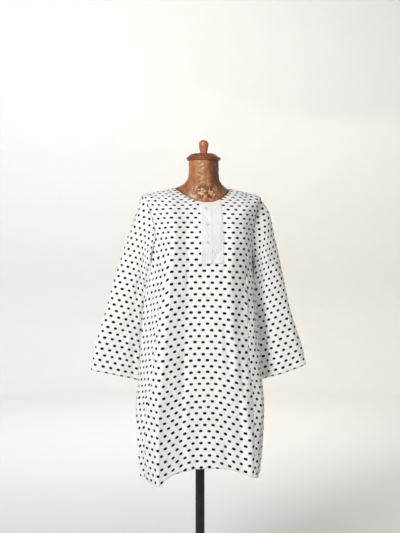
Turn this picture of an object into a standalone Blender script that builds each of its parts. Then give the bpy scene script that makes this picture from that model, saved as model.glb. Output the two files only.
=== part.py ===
"""A dotted cotton pullover tunic on a limbless dress form with a pole and a round base.

Metres, +Z up. The garment faces -Y, its wearer's right is -X, and the floor is z = 0 under the pole.
The cloth body is a family of closed rings, one per row of LEVELS. An angle of 0 is the front
centre, 90 is the +X side, -90 the -X side and 180 the back centre. Panels are cut from those rings.
"""

import math

import bpy
import numpy as np
from mathutils import Vector

# Driving sizes
CLOTH = 0.0011
SEAM_HALF = 0.00022
LIFT = 0.0003
BAND_LIFT = 0.0006
FORM_GAP = 0.0009
POLE_RADIUS = 0.01525
BASE_RADIUS = 0.185
BASE_EDGE = 0.010
BASE_CROWN = 0.016
FORM_FOOT = 0.705
NECK_TOP = 1.495
NECK_Y = -0.0575
CAP_RADIUS = 0.056
CAP_TOP_RADIUS = 0.0415
CAP_HEIGHT = 0.021
FINIAL_RADIUS = 0.0155
FINIAL_FOOT_RADIUS = 0.0115
FINIAL_HEIGHT = 0.045
BUTTON_RADIUS = 0.0052
BUTTON_THICKNESS = 0.0022

# Rings of the cloth body, inner face, from the hem to the neckline.
# Columns: name, z at front, z at side, z at back, half width, y at front, y at side, y at back,
# roundness power, sharpness of the rise from side to front.
LEVELS = [
    ("hem", 0.504, 0.466, 0.478, 0.1985, -0.137, 0.000, 0.142, 2.3, 3.0),
    ("above hem", 0.600, 0.572, 0.582, 0.2080, -0.141, 0.000, 0.140, 2.3, 3.0),
    ("hip", 0.700, 0.683, 0.690, 0.2125, -0.144, 0.000, 0.137, 2.3, 3.0),
    ("high hip", 0.800, 0.790, 0.794, 0.2040, -0.147, 0.000, 0.132, 2.3, 2.8),
    ("waist", 0.900, 0.895, 0.897, 0.1960, -0.149, 0.000, 0.127, 2.3, 2.5),
    ("above waist", 1.000, 1.000, 1.000, 0.1870, -0.151, 0.000, 0.121, 2.3, 2.2),
    ("under bust", 1.085, 1.092, 1.090, 0.1775, -0.153, 0.000, 0.116, 2.3, 2.0),
    ("underarm", 1.160, 1.178, 1.172, 0.1680, -0.155, 0.000, 0.111, 2.3, 2.0),
    ("bust", 1.210, 1.238, 1.226, 0.1690, -0.155, -0.006, 0.107, 2.3, 2.0),
    ("chest", 1.250, 1.292, 1.275, 0.1760, -0.152, -0.014, 0.103, 2.3, 2.0),
    ("high chest", 1.285, 1.340, 1.318, 0.1870, -0.145, -0.020, 0.098, 2.2, 2.0),
    ("shoulder tip", 1.312, 1.378, 1.354, 0.1955, -0.135, -0.025, 0.091, 2.1, 2.0),
    ("shoulder", 1.336, 1.393, 1.382, 0.1500, -0.121, -0.022, 0.066, 2.0, 2.0),
    ("neckline", 1.357, 1.405, 1.406, 0.0950, -0.105, -0.018, 0.034, 2.0, 2.0),
]
UNDERARM = 7
SHOULDER_TIP = 11
NECKLINE = 13

# Where the hem hangs lowest. Columns: name, degrees, half width in degrees, dip, z where it fades out.
HEM_DIPS = [
    ("left corner", -53.0, 12.0, 0.017, 0.80),
    ("right corner", 50.0, 20.0, 0.010, 0.80),
    ("back left", -140.0, 20.0, 0.008, 0.75),
    ("back right", 130.0, 18.0, 0.010, 0.75),
]

# The armhole on the rings: its half width in degrees at the front and at the back.
ARMHOLE_FRONT = 20.5
ARMHOLE_BACK = 21.0
SEAM_MEETS_ARMHOLE = 7.75

# Seams between the front or back and the side panels, in degrees from the front or back centre.
# Columns: level, -X front, +X front, back on both sides.
SEAMS = [
    (0.0, 70.0, 49.0, 56.0),
    (1.5, 65.0, 46.5, 52.0),
    (3.0, 58.0, 44.0, 49.0),
    (5.0, 55.5, 44.0, 48.0),
    (6.0, 56.5, 44.5, 50.0),
    (7.0, 61.0, 49.0, 57.0),
]

# Large folds of the hanging cloth, as waves across the rings.
# Columns: name, degrees at the top, degrees at the hem, half width in degrees at top and hem,
# depth (outward is positive), z where it has faded out above, z where it is full.
FOLDS = [
    ("left ridge", -40.0, -54.0, 9.0, 7.0, 0.013, 1.24, 0.80),
    ("left trough", -27.0, -34.0, 9.0, 10.0, -0.012, 1.22, 0.78),
    ("centre swell", -6.0, -8.0, 16.0, 15.0, 0.004, 1.14, 0.75),
    ("right trough", 20.0, 29.0, 7.0, 9.0, -0.010, 1.22, 0.85),
    ("right ridge", 33.0, 47.0, 8.0, 8.0, 0.010, 1.20, 0.80),
    ("right side trough", 62.0, 66.0, 10.0, 9.0, -0.007, 1.05, 0.70),
    ("left side trough", -74.0, -78.0, 9.0, 9.0, -0.006, 1.02, 0.70),
    ("right side ridge", 88.0, 86.0, 10.0, 10.0, 0.003, 0.95, 0.60),
    ("back right trough", 118.0, 116.0, 11.0, 10.0, -0.009, 1.12, 0.75),
    ("back right ridge", 138.0, 136.0, 11.0, 10.0, 0.009, 1.12, 0.72),
    ("back centre trough", 160.0, 163.0, 12.0, 10.0, -0.010, 1.10, 0.70),
    ("back ridge", -176.0, -174.0, 12.0, 11.0, 0.007, 1.14, 0.72),
    ("back left trough", -152.0, -150.0, 12.0, 11.0, -0.011, 1.12, 0.72),
    ("back left ridge", -128.0, -126.0, 11.0, 10.0, 0.009, 1.10, 0.72),
]

# Sleeve sections from armhole to cuff, x outward from the middle of the body.
# Columns: name, over x, over y, over z, under x, under y, under z, half depth.
SLEEVE_LEFT = [
    ("armhole", 0.1965, -0.025, 1.379, 0.1700, 0.000, 1.177, 0.060),
    ("cap", 0.2125, -0.020, 1.332, 0.1800, 0.010, 1.154, 0.060),
    ("upper", 0.2390, -0.012, 1.255, 0.1890, 0.024, 1.112, 0.054),
    ("bicep", 0.2640, 0.000, 1.168, 0.1970, 0.040, 1.058, 0.046),
    ("above elbow", 0.2890, 0.008, 1.081, 0.2010, 0.056, 0.992, 0.040),
    ("elbow", 0.3100, 0.015, 1.000, 0.2030, 0.068, 0.928, 0.036),
    ("forearm", 0.3290, 0.020, 0.935, 0.2030, 0.077, 0.872, 0.032),
    ("lower", 0.3450, 0.025, 0.870, 0.1990, 0.083, 0.816, 0.029),
    ("cuff", 0.3550, 0.030, 0.812, 0.1930, 0.088, 0.768, 0.026),
]
SLEEVE_RIGHT = [
    ("armhole", 0.1965, -0.025, 1.379, 0.1700, 0.000, 1.177, 0.060),
    ("cap", 0.2250, -0.020, 1.338, 0.1830, 0.007, 1.154, 0.060),
    ("upper", 0.2500, -0.012, 1.255, 0.1960, 0.014, 1.112, 0.054),
    ("bicep", 0.2725, -0.008, 1.170, 0.2070, 0.020, 1.058, 0.046),
    ("above elbow", 0.2915, -0.004, 1.083, 0.2140, 0.025, 0.992, 0.040),
    ("elbow", 0.3125, 0.000, 1.000, 0.2200, 0.028, 0.928, 0.036),
    ("forearm", 0.3350, 0.000, 0.932, 0.2240, 0.030, 0.872, 0.032),
    ("lower", 0.3560, 0.000, 0.870, 0.2270, 0.030, 0.816, 0.029),
    ("cuff", 0.3660, 0.000, 0.820, 0.2280, 0.030, 0.770, 0.026),
]
LOOP_BLEND = 0.22

# Placket bands at the front opening: x of each edge and z of the foot.
BAND_OVER = (-0.0270, 0.0076)
BAND_UNDER = (0.0079, 0.0440)
BAND_FOOT_Z = 1.162
BUTTON_X = -0.0075
BUTTON_Z = (1.338, 1.287, 1.232)

# The dress form: how far its skin lies inside the cloth. Columns: level, gap.
FORM_GAPS = [
    (2.05, 0.040),
    (3.0, 0.040),
    (4.0, 0.052),
    (5.0, 0.062),
    (6.0, 0.034),
    (7.0, 0.014),
    (8.0, 0.005),
    (9.0, 0.0040),
    (10.0, 0.0040),
    (11.0, 0.0050),
    (12.0, 0.0022),
    (13.0, FORM_GAP),
]
# Its neck above the neckline, with the same columns as LEVELS.
NECK = [
    ("root", 1.370, 1.411, 1.412, 0.0780, -0.1046, -0.031, 0.018, 2.0, 2.0),
    ("flare", 1.386, 1.420, 1.421, 0.0630, -0.1048, -0.044, 0.005, 2.0, 2.0),
    ("throat", 1.405, 1.433, 1.433, 0.0530, -0.1052, -0.053, -0.004, 2.0, 2.0),
    ("column", 1.427, 1.447, 1.444, 0.0492, -0.1058, -0.057, -0.0085, 2.0, 2.0),
    ("mid column", 1.458, 1.466, 1.465, 0.0485, -0.1060, -0.0575, -0.0090, 2.0, 2.0),
    ("top", 1.495, 1.495, 1.495, 0.0485, -0.1060, -0.0575, -0.0090, 2.0, 2.0),
]

# Mesh divisions
SEAM_ROWS = 17
ARMHOLE_ROWS = 8
NECK_ROWS = 3
FRONT_COLUMNS = 20
BACK_COLUMNS = 16
SIDE_COLUMNS = 6
SLEEVE_ROWS = 17
FORM_SEGMENTS = 48
FORM_ROWS = 26
BAND_ROWS = 10
BAND_COLUMNS = 3
LATHE_STEPS = 48

CLOTH_WHITE = (0.80, 0.78, 0.74)
PLACKET_WHITE = (0.83, 0.81, 0.78)
BUTTON_WHITE = (0.74, 0.70, 0.63)
FORM_TAN = (0.42, 0.27, 0.14)
CAP_BROWN = (0.20, 0.060, 0.025)
FINIAL_BROWN = (0.36, 0.13, 0.045)
IRON = (0.045, 0.038, 0.034)


def smooth_step(low, high, value):
    """0 below low, 1 above high, and a smooth S between them."""
    t = np.clip((value - low) / (high - low), 0.0, 1.0)
    return t * t * (3 - 2 * t)


def table_value(rows, column, at):
    """A column of a table read at a fractional row, as a Hermite curve with level-safe slopes."""
    values = np.array([row[column] for row in rows], float)
    steps = np.diff(values)
    same = np.sign(steps[:-1]) == np.sign(steps[1:])
    inner = np.where(same, 2 * steps[:-1] * steps[1:] / np.where(same, steps[:-1] + steps[1:] + 1e-12, 1), 0)
    slopes = np.concatenate([[steps[0]], inner, [steps[-1]]])
    at = np.clip(np.asarray(at, float), 0, len(values) - 1)
    i = np.minimum(at.astype(int), len(values) - 2)
    t = at - i
    start = values[i] * (2 * t**3 - 3 * t**2 + 1) + slopes[i] * (t**3 - 2 * t**2 + t)
    return start + values[i + 1] * (3 * t**2 - 2 * t**3) + slopes[i + 1] * (t**3 - t**2)


def ring_points(rows, angle, level):
    """Points on the rings of a table: a superellipse in plan, with z rising towards front and back."""
    angle = np.radians(angle)
    z_front, z_side, z_back, half, y_front, y_side, y_back, power, rise = (
        table_value(rows, column, level) for column in range(1, 10)
    )
    sine = np.sin(angle)
    cosine = np.cos(angle)
    ahead = cosine >= 0
    reach = np.abs(cosine) ** (2 / power)
    x = half * np.sign(sine) * np.abs(sine) ** (2 / power)
    y = y_side + (np.where(ahead, y_front, y_back) - y_side) * reach
    z = z_side + (np.where(ahead, z_front, z_back) - z_side) * np.abs(cosine) ** rise
    return np.stack(np.broadcast_arrays(x, y, z), axis=-1)


def ring_normals(points_at, angle, level):
    """Outward unit normals, from the slopes along and across the rings."""
    turn = 0.8
    climb = 0.04
    top = NECKLINE - climb
    along = points_at(angle + turn, level) - points_at(angle - turn, level)
    low = np.minimum(level, top) - climb
    high = np.minimum(level, top) + climb
    across = points_at(angle, high) - points_at(angle, np.maximum(low, 0))
    normal = np.cross(along, across)
    return normal / np.linalg.norm(normal, axis=-1, keepdims=True)


def bare_body(angle, level):
    """The cloth body before its folds, with the dips of its hem."""
    points = ring_points(LEVELS, angle, level)
    z = table_value(LEVELS, 1, level)
    for _, centre, width, dip, faded in HEM_DIPS:
        off = (angle - centre + 180) % 360 - 180
        points[..., 2] -= dip * np.exp(-((off / width) ** 2)) * smooth_step(faded, LEVELS[0][1], z)
    return points


def fold_depth(angle, level):
    """Sum of the folds: each is a bell across the ring that leans and widens from its top to the hem."""
    z = table_value(LEVELS, 1, level)
    depth = np.zeros(np.broadcast(angle, level).shape)
    hem_z = LEVELS[0][1]
    for _, top, hem, wide_top, wide_hem, size, z_faded, z_full in FOLDS:
        fall = np.clip((z_faded - z) / (z_faded - hem_z), 0, 1)
        centre = top + (hem - top) * fall
        width = wide_top + (wide_hem - wide_top) * fall
        off = (angle - centre + 180) % 360 - 180
        depth = depth + size * np.exp(-((off / width) ** 2)) * smooth_step(z_faded, z_full, z)
    return depth


def body_points(angle, level, out=0.0):
    """The cloth's inner face with its folds, or points moved out from it."""
    angle, level = np.broadcast_arrays(np.asarray(angle, float), np.asarray(level, float))
    normal = ring_normals(bare_body, angle, level)
    return bare_body(angle, level) + normal * (fold_depth(angle, level) + out)[..., None]


def level_at_height(z):
    """The level whose ring has that z at the front centre."""
    return np.interp(z, [row[1] for row in LEVELS], range(len(LEVELS)))


def angle_at_x(x, level):
    """The angle at which a ring's front has that x."""
    half = table_value(LEVELS, 4, level)
    power = table_value(LEVELS, 8, level)
    return np.degrees(np.arcsin((np.abs(x) / half) ** (power / 2))) * np.sign(x)


def armhole_loop(turn, side_front):
    """Angle from the front centre and level on the armhole, at a turn of 0 at the tip and 180 under the arm."""
    turn = np.radians(turn)
    middle = (SHOULDER_TIP + UNDERARM) / 2
    level = middle + (SHOULDER_TIP - UNDERARM) / 2 * np.cos(turn)
    width = ARMHOLE_FRONT if side_front else ARMHOLE_BACK
    return 90 - width * np.abs(np.sin(turn)), level


def turn_at_level(level):
    """The armhole's turn, 0 to 180, at a level."""
    middle = (SHOULDER_TIP + UNDERARM) / 2
    return np.degrees(np.arccos((level - middle) / ((SHOULDER_TIP - UNDERARM) / 2)))


def seam_angle(level, column, side_front):
    """A seam's angle from the front or back centre at a level, meeting the armhole at its last row."""
    meet, _ = armhole_loop(turn_at_level(SEAM_MEETS_ARMHOLE), side_front)
    rows = [(row[0], row[column]) for row in SEAMS] + [(SEAM_MEETS_ARMHOLE, float(meet))]
    place = np.interp(level, [row[0] for row in rows], range(len(rows)))
    return table_value(rows, 1, place)


def seam_levels():
    """Levels of the panel rows from the hem to where the seams meet the armhole."""
    return np.linspace(0, SEAM_MEETS_ARMHOLE, SEAM_ROWS)


def armhole_turns():
    """Turns of the rows from the seam's top to the shoulder tip, closer together at both ends."""
    return np.linspace(turn_at_level(SEAM_MEETS_ARMHOLE), 0, ARMHOLE_ROWS + 1)[1:]


def panel_edges(column, side_front):
    """Angle and level down one side of the front or back: seam, armhole, then shoulder seam."""
    levels = seam_levels()
    seam = seam_angle(levels, column, side_front)
    hole_angle, hole_level = armhole_loop(armhole_turns(), side_front)
    shoulder = np.linspace(SHOULDER_TIP, NECKLINE, NECK_ROWS + 1)[1:]
    angles = np.concatenate([seam, hole_angle, np.full(NECK_ROWS, 90.0)])
    return angles, np.concatenate([levels, hole_level, shoulder])


def panel_grid(minus_column, plus_column, side_front, columns):
    """Points of the front or back panel, a row for each level and a column across it."""
    minus, level = panel_edges(minus_column, side_front)
    plus, _ = panel_edges(plus_column, side_front)
    across = np.linspace(0, 1, columns + 1)
    angle = -minus[:, None] + (minus + plus)[:, None] * across
    if not side_front:
        angle = 180 - angle[:, ::-1]
    return body_points(angle, level[:, None])


def side_grid(sign, front_column):
    """Points of a side panel, from the front seam under the arm to the back seam."""
    levels = seam_levels()
    across = np.linspace(0, 1, SIDE_COLUMNS + 1)
    meet = turn_at_level(SEAM_MEETS_ARMHOLE)
    turns = meet + (360 - 2 * meet) * across
    ahead = turns <= 180
    hole_front, top = armhole_loop(turns, True)
    hole_back, _ = armhole_loop(turns, False)
    hole = np.where(ahead, hole_front, 180 - hole_back)
    share = levels / SEAM_MEETS_ARMHOLE
    level = share[:, None] * top
    front = seam_angle(level, front_column, True)
    back = 180 - seam_angle(level, 3, False)
    angle = front + (back - front) * across
    bend = smooth_step(0.55, 1.0, share)[:, None]
    angle = angle + bend * (hole - angle[-1])
    grid = body_points(sign * angle, level)
    return grid if sign > 0 else grid[:, ::-1]


def inset_edges(grid, amount):
    """Pull the outer rows and columns of a grid in by half a seam gap."""
    grid = grid.copy()
    for edge, inner in ((0, 1), (-1, -2)):
        for view in (grid, grid.transpose(1, 0, 2)):
            step = view[inner] - view[edge]
            view[edge] += step / np.linalg.norm(step, axis=-1, keepdims=True) * amount
    return grid


def sleeve_grid(sign, rows):
    """Points of a sleeve: oval sections between the over and under lines, blended into the armhole loop."""
    upper = armhole_turns()[::-1]
    meet = turn_at_level(SEAM_MEETS_ARMHOLE)
    under = np.linspace(meet, 360 - meet, SIDE_COLUMNS + 1)
    turns = np.concatenate([upper, under, (360 - upper[1:])[::-1]])
    front_angle, level = armhole_loop(turns, True)
    back_angle, _ = armhole_loop(turns, False)
    angle = np.where(turns <= 180, front_angle, 180 - back_angle)
    loop = body_points(sign * angle, level, CLOTH + 2 * LIFT)
    share = np.linspace(0, 1, SLEEVE_ROWS + 1) ** 1.15
    at = share * (len(rows) - 1)
    mirror = np.array([sign, 1, 1])
    over = np.stack([table_value(rows, c, at) for c in (1, 2, 3)], axis=-1) * mirror
    below = np.stack([table_value(rows, c, at) for c in (4, 5, 6)], axis=-1) * mirror
    depth = table_value(rows, 7, at)
    middle = (over + below) / 2
    half = (over - below) / 2
    wide = half / np.linalg.norm(half, axis=-1, keepdims=True)
    ahead = np.array([0, -1.0, 0]) + wide[:, 1:2] * wide
    ahead /= np.linalg.norm(ahead, axis=-1, keepdims=True)
    cosine = np.cos(np.radians(turns))[None, :, None]
    sine = np.sin(np.radians(turns))[None, :, None]
    oval = middle[:, None] + half[:, None] * cosine + (ahead * depth[:, None])[:, None] * sine
    blend = smooth_step(0.0, LOOP_BLEND, share)[:, None, None]
    shift = loop - oval[0]
    points = oval + shift * (1 - blend)
    return points if sign > 0 else points[:, ::-1]


def band_grid(edges):
    """Points of a placket band: the front's points between two x values, moved out past its wall."""
    levels = np.linspace(level_at_height(BAND_FOOT_Z), NECKLINE, BAND_ROWS + 1)[:, None]
    x = np.linspace(edges[0], edges[1], BAND_COLUMNS + 1)
    return body_points(angle_at_x(x, levels), levels, CLOTH + BAND_LIFT)


def form_grid():
    """Rings of the dress form: the cloth's own rings moved in, then the neck's rings."""
    gap_levels = [row[0] for row in FORM_GAPS]
    levels = np.linspace(gap_levels[0], NECKLINE, FORM_ROWS)
    gaps = table_value(FORM_GAPS, 1, np.interp(levels, gap_levels, range(len(FORM_GAPS))))
    angle = np.arange(FORM_SEGMENTS) * 360 / FORM_SEGMENTS
    inner = bare_body(angle, levels[:, None])
    inner = inner - ring_normals(bare_body, angle[None, :], levels[:, None]) * gaps[:, None, None]
    inner[0, :, 2] = FORM_FOOT
    neck = ring_points(NECK, angle, np.arange(len(NECK))[:, None])
    return np.concatenate([inner, neck])


def clear_scene():
    """Remove every object of the scene."""
    for thing in list(bpy.data.objects):
        bpy.data.objects.remove(thing, do_unlink=True)


def principled(name, color, roughness, metallic=0.0):
    """A Principled material with one colour, roughness and metallic value."""
    material = bpy.data.materials.new(name)
    material.use_nodes = True
    shader = material.node_tree.nodes["Principled BSDF"]
    shader.inputs["Base Color"].default_value = (*color, 1.0)
    shader.inputs["Roughness"].default_value = roughness
    shader.inputs["Metallic"].default_value = metallic
    material.diffuse_color = (*color, 1.0)
    return material


def new_object(name, mesh, collection, material):
    """An object of the collection with its material, shaded smooth up to a sharp angle."""
    thing = bpy.data.objects.new(name, mesh)
    collection.objects.link(thing)
    mesh.materials.append(material)
    mesh.shade_smooth()
    mesh.set_sharp_from_angle(angle=math.radians(40))
    return thing


def quads(rows, columns, ring):
    """Faces of a grid of points, closed around each row when ring is true."""
    across = columns if ring else columns - 1
    row, column = np.meshgrid(np.arange(rows - 1), np.arange(across), indexing="ij")
    beside = (column + 1) % columns
    corner = [row * columns + column, row * columns + beside]
    corner += [(row + 1) * columns + beside, (row + 1) * columns + column]
    return np.stack(corner, axis=-1).reshape(-1, 4).tolist()


def cloth_sheet(name, grid, collection, material, ring=False, flip=False):
    """A cloth wall: the grid as an open surface, thickened outward."""
    rows, columns = grid.shape[:2]
    faces = quads(rows, columns, ring)
    if flip:
        faces = [face[::-1] for face in faces]
    mesh = bpy.data.meshes.new(name)
    mesh.from_pydata(grid.reshape(-1, 3).tolist(), [], faces)
    sheet = new_object(name, mesh, collection, material)
    wall = sheet.modifiers.new("wall", "SOLIDIFY")
    wall.thickness = CLOTH
    wall.offset = 1.0
    wall.use_even_offset = False
    return sheet


def closed_loft(name, grid, collection, material):
    """A solid of stacked rings with a flat cap at each end."""
    rows, columns = grid.shape[:2]
    faces = quads(rows, columns, True)
    faces.append(list(range(columns))[::-1])
    faces.append(list(range((rows - 1) * columns, rows * columns)))
    mesh = bpy.data.meshes.new(name)
    mesh.from_pydata(grid.reshape(-1, 3).tolist(), [], faces)
    return new_object(name, mesh, collection, material)


def turned(name, profile, location, collection, material):
    """A lathe-turned solid: the profile runs down the outer side at +X."""
    mesh = bpy.data.meshes.new(name)
    points = [(radius, 0.0, height) for radius, height in profile]
    mesh.from_pydata(points, [(i, i + 1) for i in range(len(points) - 1)], [])
    thing = new_object(name, mesh, collection, material)
    thing.location = location
    screw = thing.modifiers.new("turn", "SCREW")
    screw.steps = LATHE_STEPS
    screw.render_steps = LATHE_STEPS
    screw.use_merge_vertices = True
    screw.merge_threshold = 0.00001
    return thing


def make_cloth(collection):
    """Front, back, two side panels and two sleeves."""
    cotton = principled("dotted cotton", CLOTH_WHITE, 0.9)
    front = inset_edges(panel_grid(1, 2, True, FRONT_COLUMNS), SEAM_HALF)
    back = inset_edges(panel_grid(3, 3, False, BACK_COLUMNS), SEAM_HALF)
    cloth_sheet("front", front, collection, cotton)
    cloth_sheet("back", back, collection, cotton)
    for side, sign, column, rows in (("left", -1, 1, SLEEVE_LEFT), ("right", 1, 2, SLEEVE_RIGHT)):
        panel = inset_edges(side_grid(sign, column), SEAM_HALF)
        cloth_sheet("side_panel_" + side, panel, collection, cotton)
        cloth_sheet("sleeve_" + side, sleeve_grid(sign, rows), collection, cotton, ring=True, flip=True)


def make_placket(collection):
    """Two bands down the front opening, with small buttons on the upper one."""
    plain = principled("placket cotton", PLACKET_WHITE, 0.85)
    shell = principled("shell button", BUTTON_WHITE, 0.4)
    cloth_sheet("placket_over", band_grid(BAND_OVER), collection, plain)
    cloth_sheet("placket_under", band_grid(BAND_UNDER), collection, plain)
    half = BUTTON_THICKNESS / 2
    for number, z in enumerate(BUTTON_Z, start=1):
        level = level_at_height(z)
        angle = angle_at_x(BUTTON_X, level)
        normal = ring_normals(bare_body, angle, level)
        seat = body_points(angle, level, 2 * CLOTH + BAND_LIFT)
        bpy.ops.mesh.primitive_cylinder_add(vertices=24, radius=BUTTON_RADIUS, depth=BUTTON_THICKNESS)
        made = bpy.context.object
        made.data.name = "button"
        button = new_object(f"button_{number}", made.data, collection, shell)
        bpy.data.objects.remove(made)
        button.location = seat + normal * (half + LIFT)
        button.rotation_euler = Vector(normal).to_track_quat("Z", "Y").to_euler()
        edge = button.modifiers.new("edge", "BEVEL")
        edge.width = BUTTON_THICKNESS * 0.3
        edge.segments = 2


def make_stand(collection):
    """Dress form, cap, finial, pole and base."""
    paper = principled("varnished paper", FORM_TAN, 0.5)
    wood = principled("turned wood", CAP_BROWN, 0.45)
    peg = principled("turned peg", FINIAL_BROWN, 0.4)
    iron = principled("dark iron", IRON, 0.5, 0.9)
    closed_loft("form_body", form_grid(), collection, paper)
    shoulder = CAP_HEIGHT * 0.45
    cap = [
        (0.0, CAP_HEIGHT),
        (CAP_TOP_RADIUS - 0.001, CAP_HEIGHT),
        (CAP_TOP_RADIUS, CAP_HEIGHT - 0.0006),
        (CAP_RADIUS - 0.0015, shoulder),
        (CAP_RADIUS, shoulder - 0.0015),
        (CAP_RADIUS, 0.0015),
        (CAP_RADIUS - 0.0015, 0.0),
        (0.0, 0.0),
    ]
    turned("neck_cap", cap, (0, NECK_Y, NECK_TOP + LIFT), collection, wood)
    dome = [
        (FINIAL_RADIUS * math.sin(a), FINIAL_HEIGHT - FINIAL_RADIUS * 0.8 * (1 - math.cos(a)))
        for a in np.linspace(0, math.pi / 2, 8)
    ]
    finial = [*dome, (FINIAL_RADIUS * 0.93, FINIAL_HEIGHT * 0.45), (FINIAL_FOOT_RADIUS, 0.0), (0.0, 0.0)]
    turned("finial", finial, (0, NECK_Y, NECK_TOP + CAP_HEIGHT + 2 * LIFT), collection, peg)
    crown = [
        (0.0, BASE_CROWN),
        (0.045, BASE_CROWN),
        (0.060, BASE_CROWN - 0.002),
        (BASE_RADIUS - 0.004, BASE_EDGE),
        (BASE_RADIUS, BASE_EDGE - 0.003),
        (BASE_RADIUS, 0.0),
        (0.0, 0.0),
    ]
    turned("base", crown, (0, 0, 0), collection, iron)
    foot = BASE_CROWN + LIFT
    head = FORM_FOOT - LIFT
    pole = [(0.0, head), (POLE_RADIUS, head), (POLE_RADIUS, foot), (0.0, foot)]
    turned("pole", pole, (0, 0, 0), collection, iron)


def main():
    """Build every sub-part in one collection."""
    clear_scene()
    collection = bpy.data.collections.new("pullover_on_dress_form")
    bpy.context.scene.collection.children.link(collection)
    make_cloth(collection)
    make_placket(collection)
    make_stand(collection)


main()
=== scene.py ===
import math
from functools import partial

import bpy
import numpy as np
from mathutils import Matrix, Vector


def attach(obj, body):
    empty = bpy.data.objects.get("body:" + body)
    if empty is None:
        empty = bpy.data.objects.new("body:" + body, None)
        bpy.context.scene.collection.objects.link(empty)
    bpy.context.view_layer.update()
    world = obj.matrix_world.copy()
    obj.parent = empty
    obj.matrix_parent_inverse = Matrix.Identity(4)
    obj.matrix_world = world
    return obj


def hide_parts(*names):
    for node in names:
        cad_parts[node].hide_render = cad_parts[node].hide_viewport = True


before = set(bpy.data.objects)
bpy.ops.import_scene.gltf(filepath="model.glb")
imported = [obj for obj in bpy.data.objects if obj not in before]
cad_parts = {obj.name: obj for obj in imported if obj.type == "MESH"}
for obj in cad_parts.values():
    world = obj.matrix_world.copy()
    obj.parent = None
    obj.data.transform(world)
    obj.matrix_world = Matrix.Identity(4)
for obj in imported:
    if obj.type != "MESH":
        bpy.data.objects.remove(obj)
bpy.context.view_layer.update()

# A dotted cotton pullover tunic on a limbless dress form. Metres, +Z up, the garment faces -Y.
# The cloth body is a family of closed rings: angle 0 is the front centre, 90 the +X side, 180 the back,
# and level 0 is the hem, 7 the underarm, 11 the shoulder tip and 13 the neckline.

print("stage: frame loaded", flush=True)

# Rings of the cloth's inner face: z at front, side and back, half width, y at front, side and back,
# roundness power, sharpness of the rise from side to front.
levels = [
    (0.504, 0.466, 0.478, 0.1985, -0.137, 0.000, 0.142, 2.3, 3.0),
    (0.600, 0.572, 0.582, 0.2080, -0.141, 0.000, 0.140, 2.3, 3.0),
    (0.700, 0.683, 0.690, 0.2125, -0.144, 0.000, 0.137, 2.3, 3.0),
    (0.800, 0.790, 0.794, 0.2040, -0.147, 0.000, 0.132, 2.3, 2.8),
    (0.900, 0.895, 0.897, 0.1960, -0.149, 0.000, 0.127, 2.3, 2.5),
    (1.000, 1.000, 1.000, 0.1870, -0.151, 0.000, 0.121, 2.3, 2.2),
    (1.085, 1.092, 1.090, 0.1775, -0.153, 0.000, 0.116, 2.3, 2.0),
    (1.160, 1.178, 1.172, 0.1680, -0.155, 0.000, 0.111, 2.3, 2.0),
    (1.210, 1.238, 1.226, 0.1690, -0.155, -0.006, 0.107, 2.3, 2.0),
    (1.250, 1.292, 1.275, 0.1760, -0.152, -0.014, 0.103, 2.3, 2.0),
    (1.285, 1.340, 1.318, 0.1870, -0.145, -0.020, 0.098, 2.2, 2.0),
    (1.312, 1.378, 1.354, 0.1955, -0.135, -0.025, 0.091, 2.1, 2.0),
    (1.336, 1.393, 1.382, 0.1500, -0.121, -0.022, 0.066, 2.0, 2.0),
    (1.357, 1.405, 1.406, 0.0950, -0.105, -0.018, 0.034, 2.0, 2.0),
]
hemHeight = levels[0][0]
# Dips of the hem: degrees, half width, dip, z where it fades out.
hemDips = [(-53, 12, 0.017, 0.80), (50, 20, 0.010, 0.80), (-140, 20, 0.008, 0.75), (130, 18, 0.010, 0.75)]
# Seams: level, -X front, +X front, back on both sides, in degrees from the front or back centre.
seams = [
    (0.0, 70.0, 49.0, 56.0),
    (1.5, 65.0, 46.5, 52.0),
    (3.0, 58.0, 44.0, 49.0),
    (5.0, 55.5, 44.0, 48.0),
    (6.0, 56.5, 44.5, 50.0),
    (7.0, 61.0, 49.0, 57.0),
]
# Large folds: degrees at the top and at the hem, half width there, depth, z where faded out, z where full.
folds = [
    (-40, -54, 9, 7, 0.013, 1.24, 0.80),
    (-27, -34, 9, 10, -0.012, 1.22, 0.78),
    (-6, -8, 16, 15, 0.004, 1.14, 0.75),
    (20, 29, 7, 9, -0.010, 1.22, 0.85),
    (33, 47, 8, 8, 0.010, 1.20, 0.80),
    (62, 66, 10, 9, -0.007, 1.05, 0.70),
    (-74, -78, 9, 9, -0.006, 1.02, 0.70),
    (88, 86, 10, 10, 0.003, 0.95, 0.60),
    (118, 116, 11, 10, -0.009, 1.12, 0.75),
    (138, 136, 11, 10, 0.009, 1.12, 0.72),
    (160, 163, 12, 10, -0.010, 1.10, 0.70),
    (-176, -174, 12, 11, 0.007, 1.14, 0.72),
    (-152, -150, 12, 11, -0.011, 1.12, 0.72),
    (-128, -126, 11, 10, 0.009, 1.10, 0.72),
]
underarm, shoulderTip, neckline = 7, 11, 13
armholeFront, armholeBack, seamMeets = 20.5, 21.0, 7.75
cloth = {
    "inner": 0.0002, "thick": 0.0007, "allowance": 0.0030, "neckEdge": 0.0006, "turnUp": 0.015,
    "stitchLine": 0.0135,
}
# Rows of a turned-up hem from its fold: metres inwards, share of the hem's depth back up, metres back up.
turnUpRows = [(0.0008, 0.0, -0.0001), (0.0015, 0.0, 0.0012), (0.0017, 0.5, 0.0), (0.0016, 1.0, 0.0)]


def smoothStep(low, high, value):
    # 0 below low, 1 above high, 3t^2 - 2t^3 between them
    t = np.clip((value - low) / (high - low), 0.0, 1.0)
    return t * t * (3 - 2 * t)


def rowAt(rows, value):
    # the fractional row at which a table's first column reaches a value
    return np.interp(value, [row[0] for row in rows], range(len(rows)))


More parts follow.
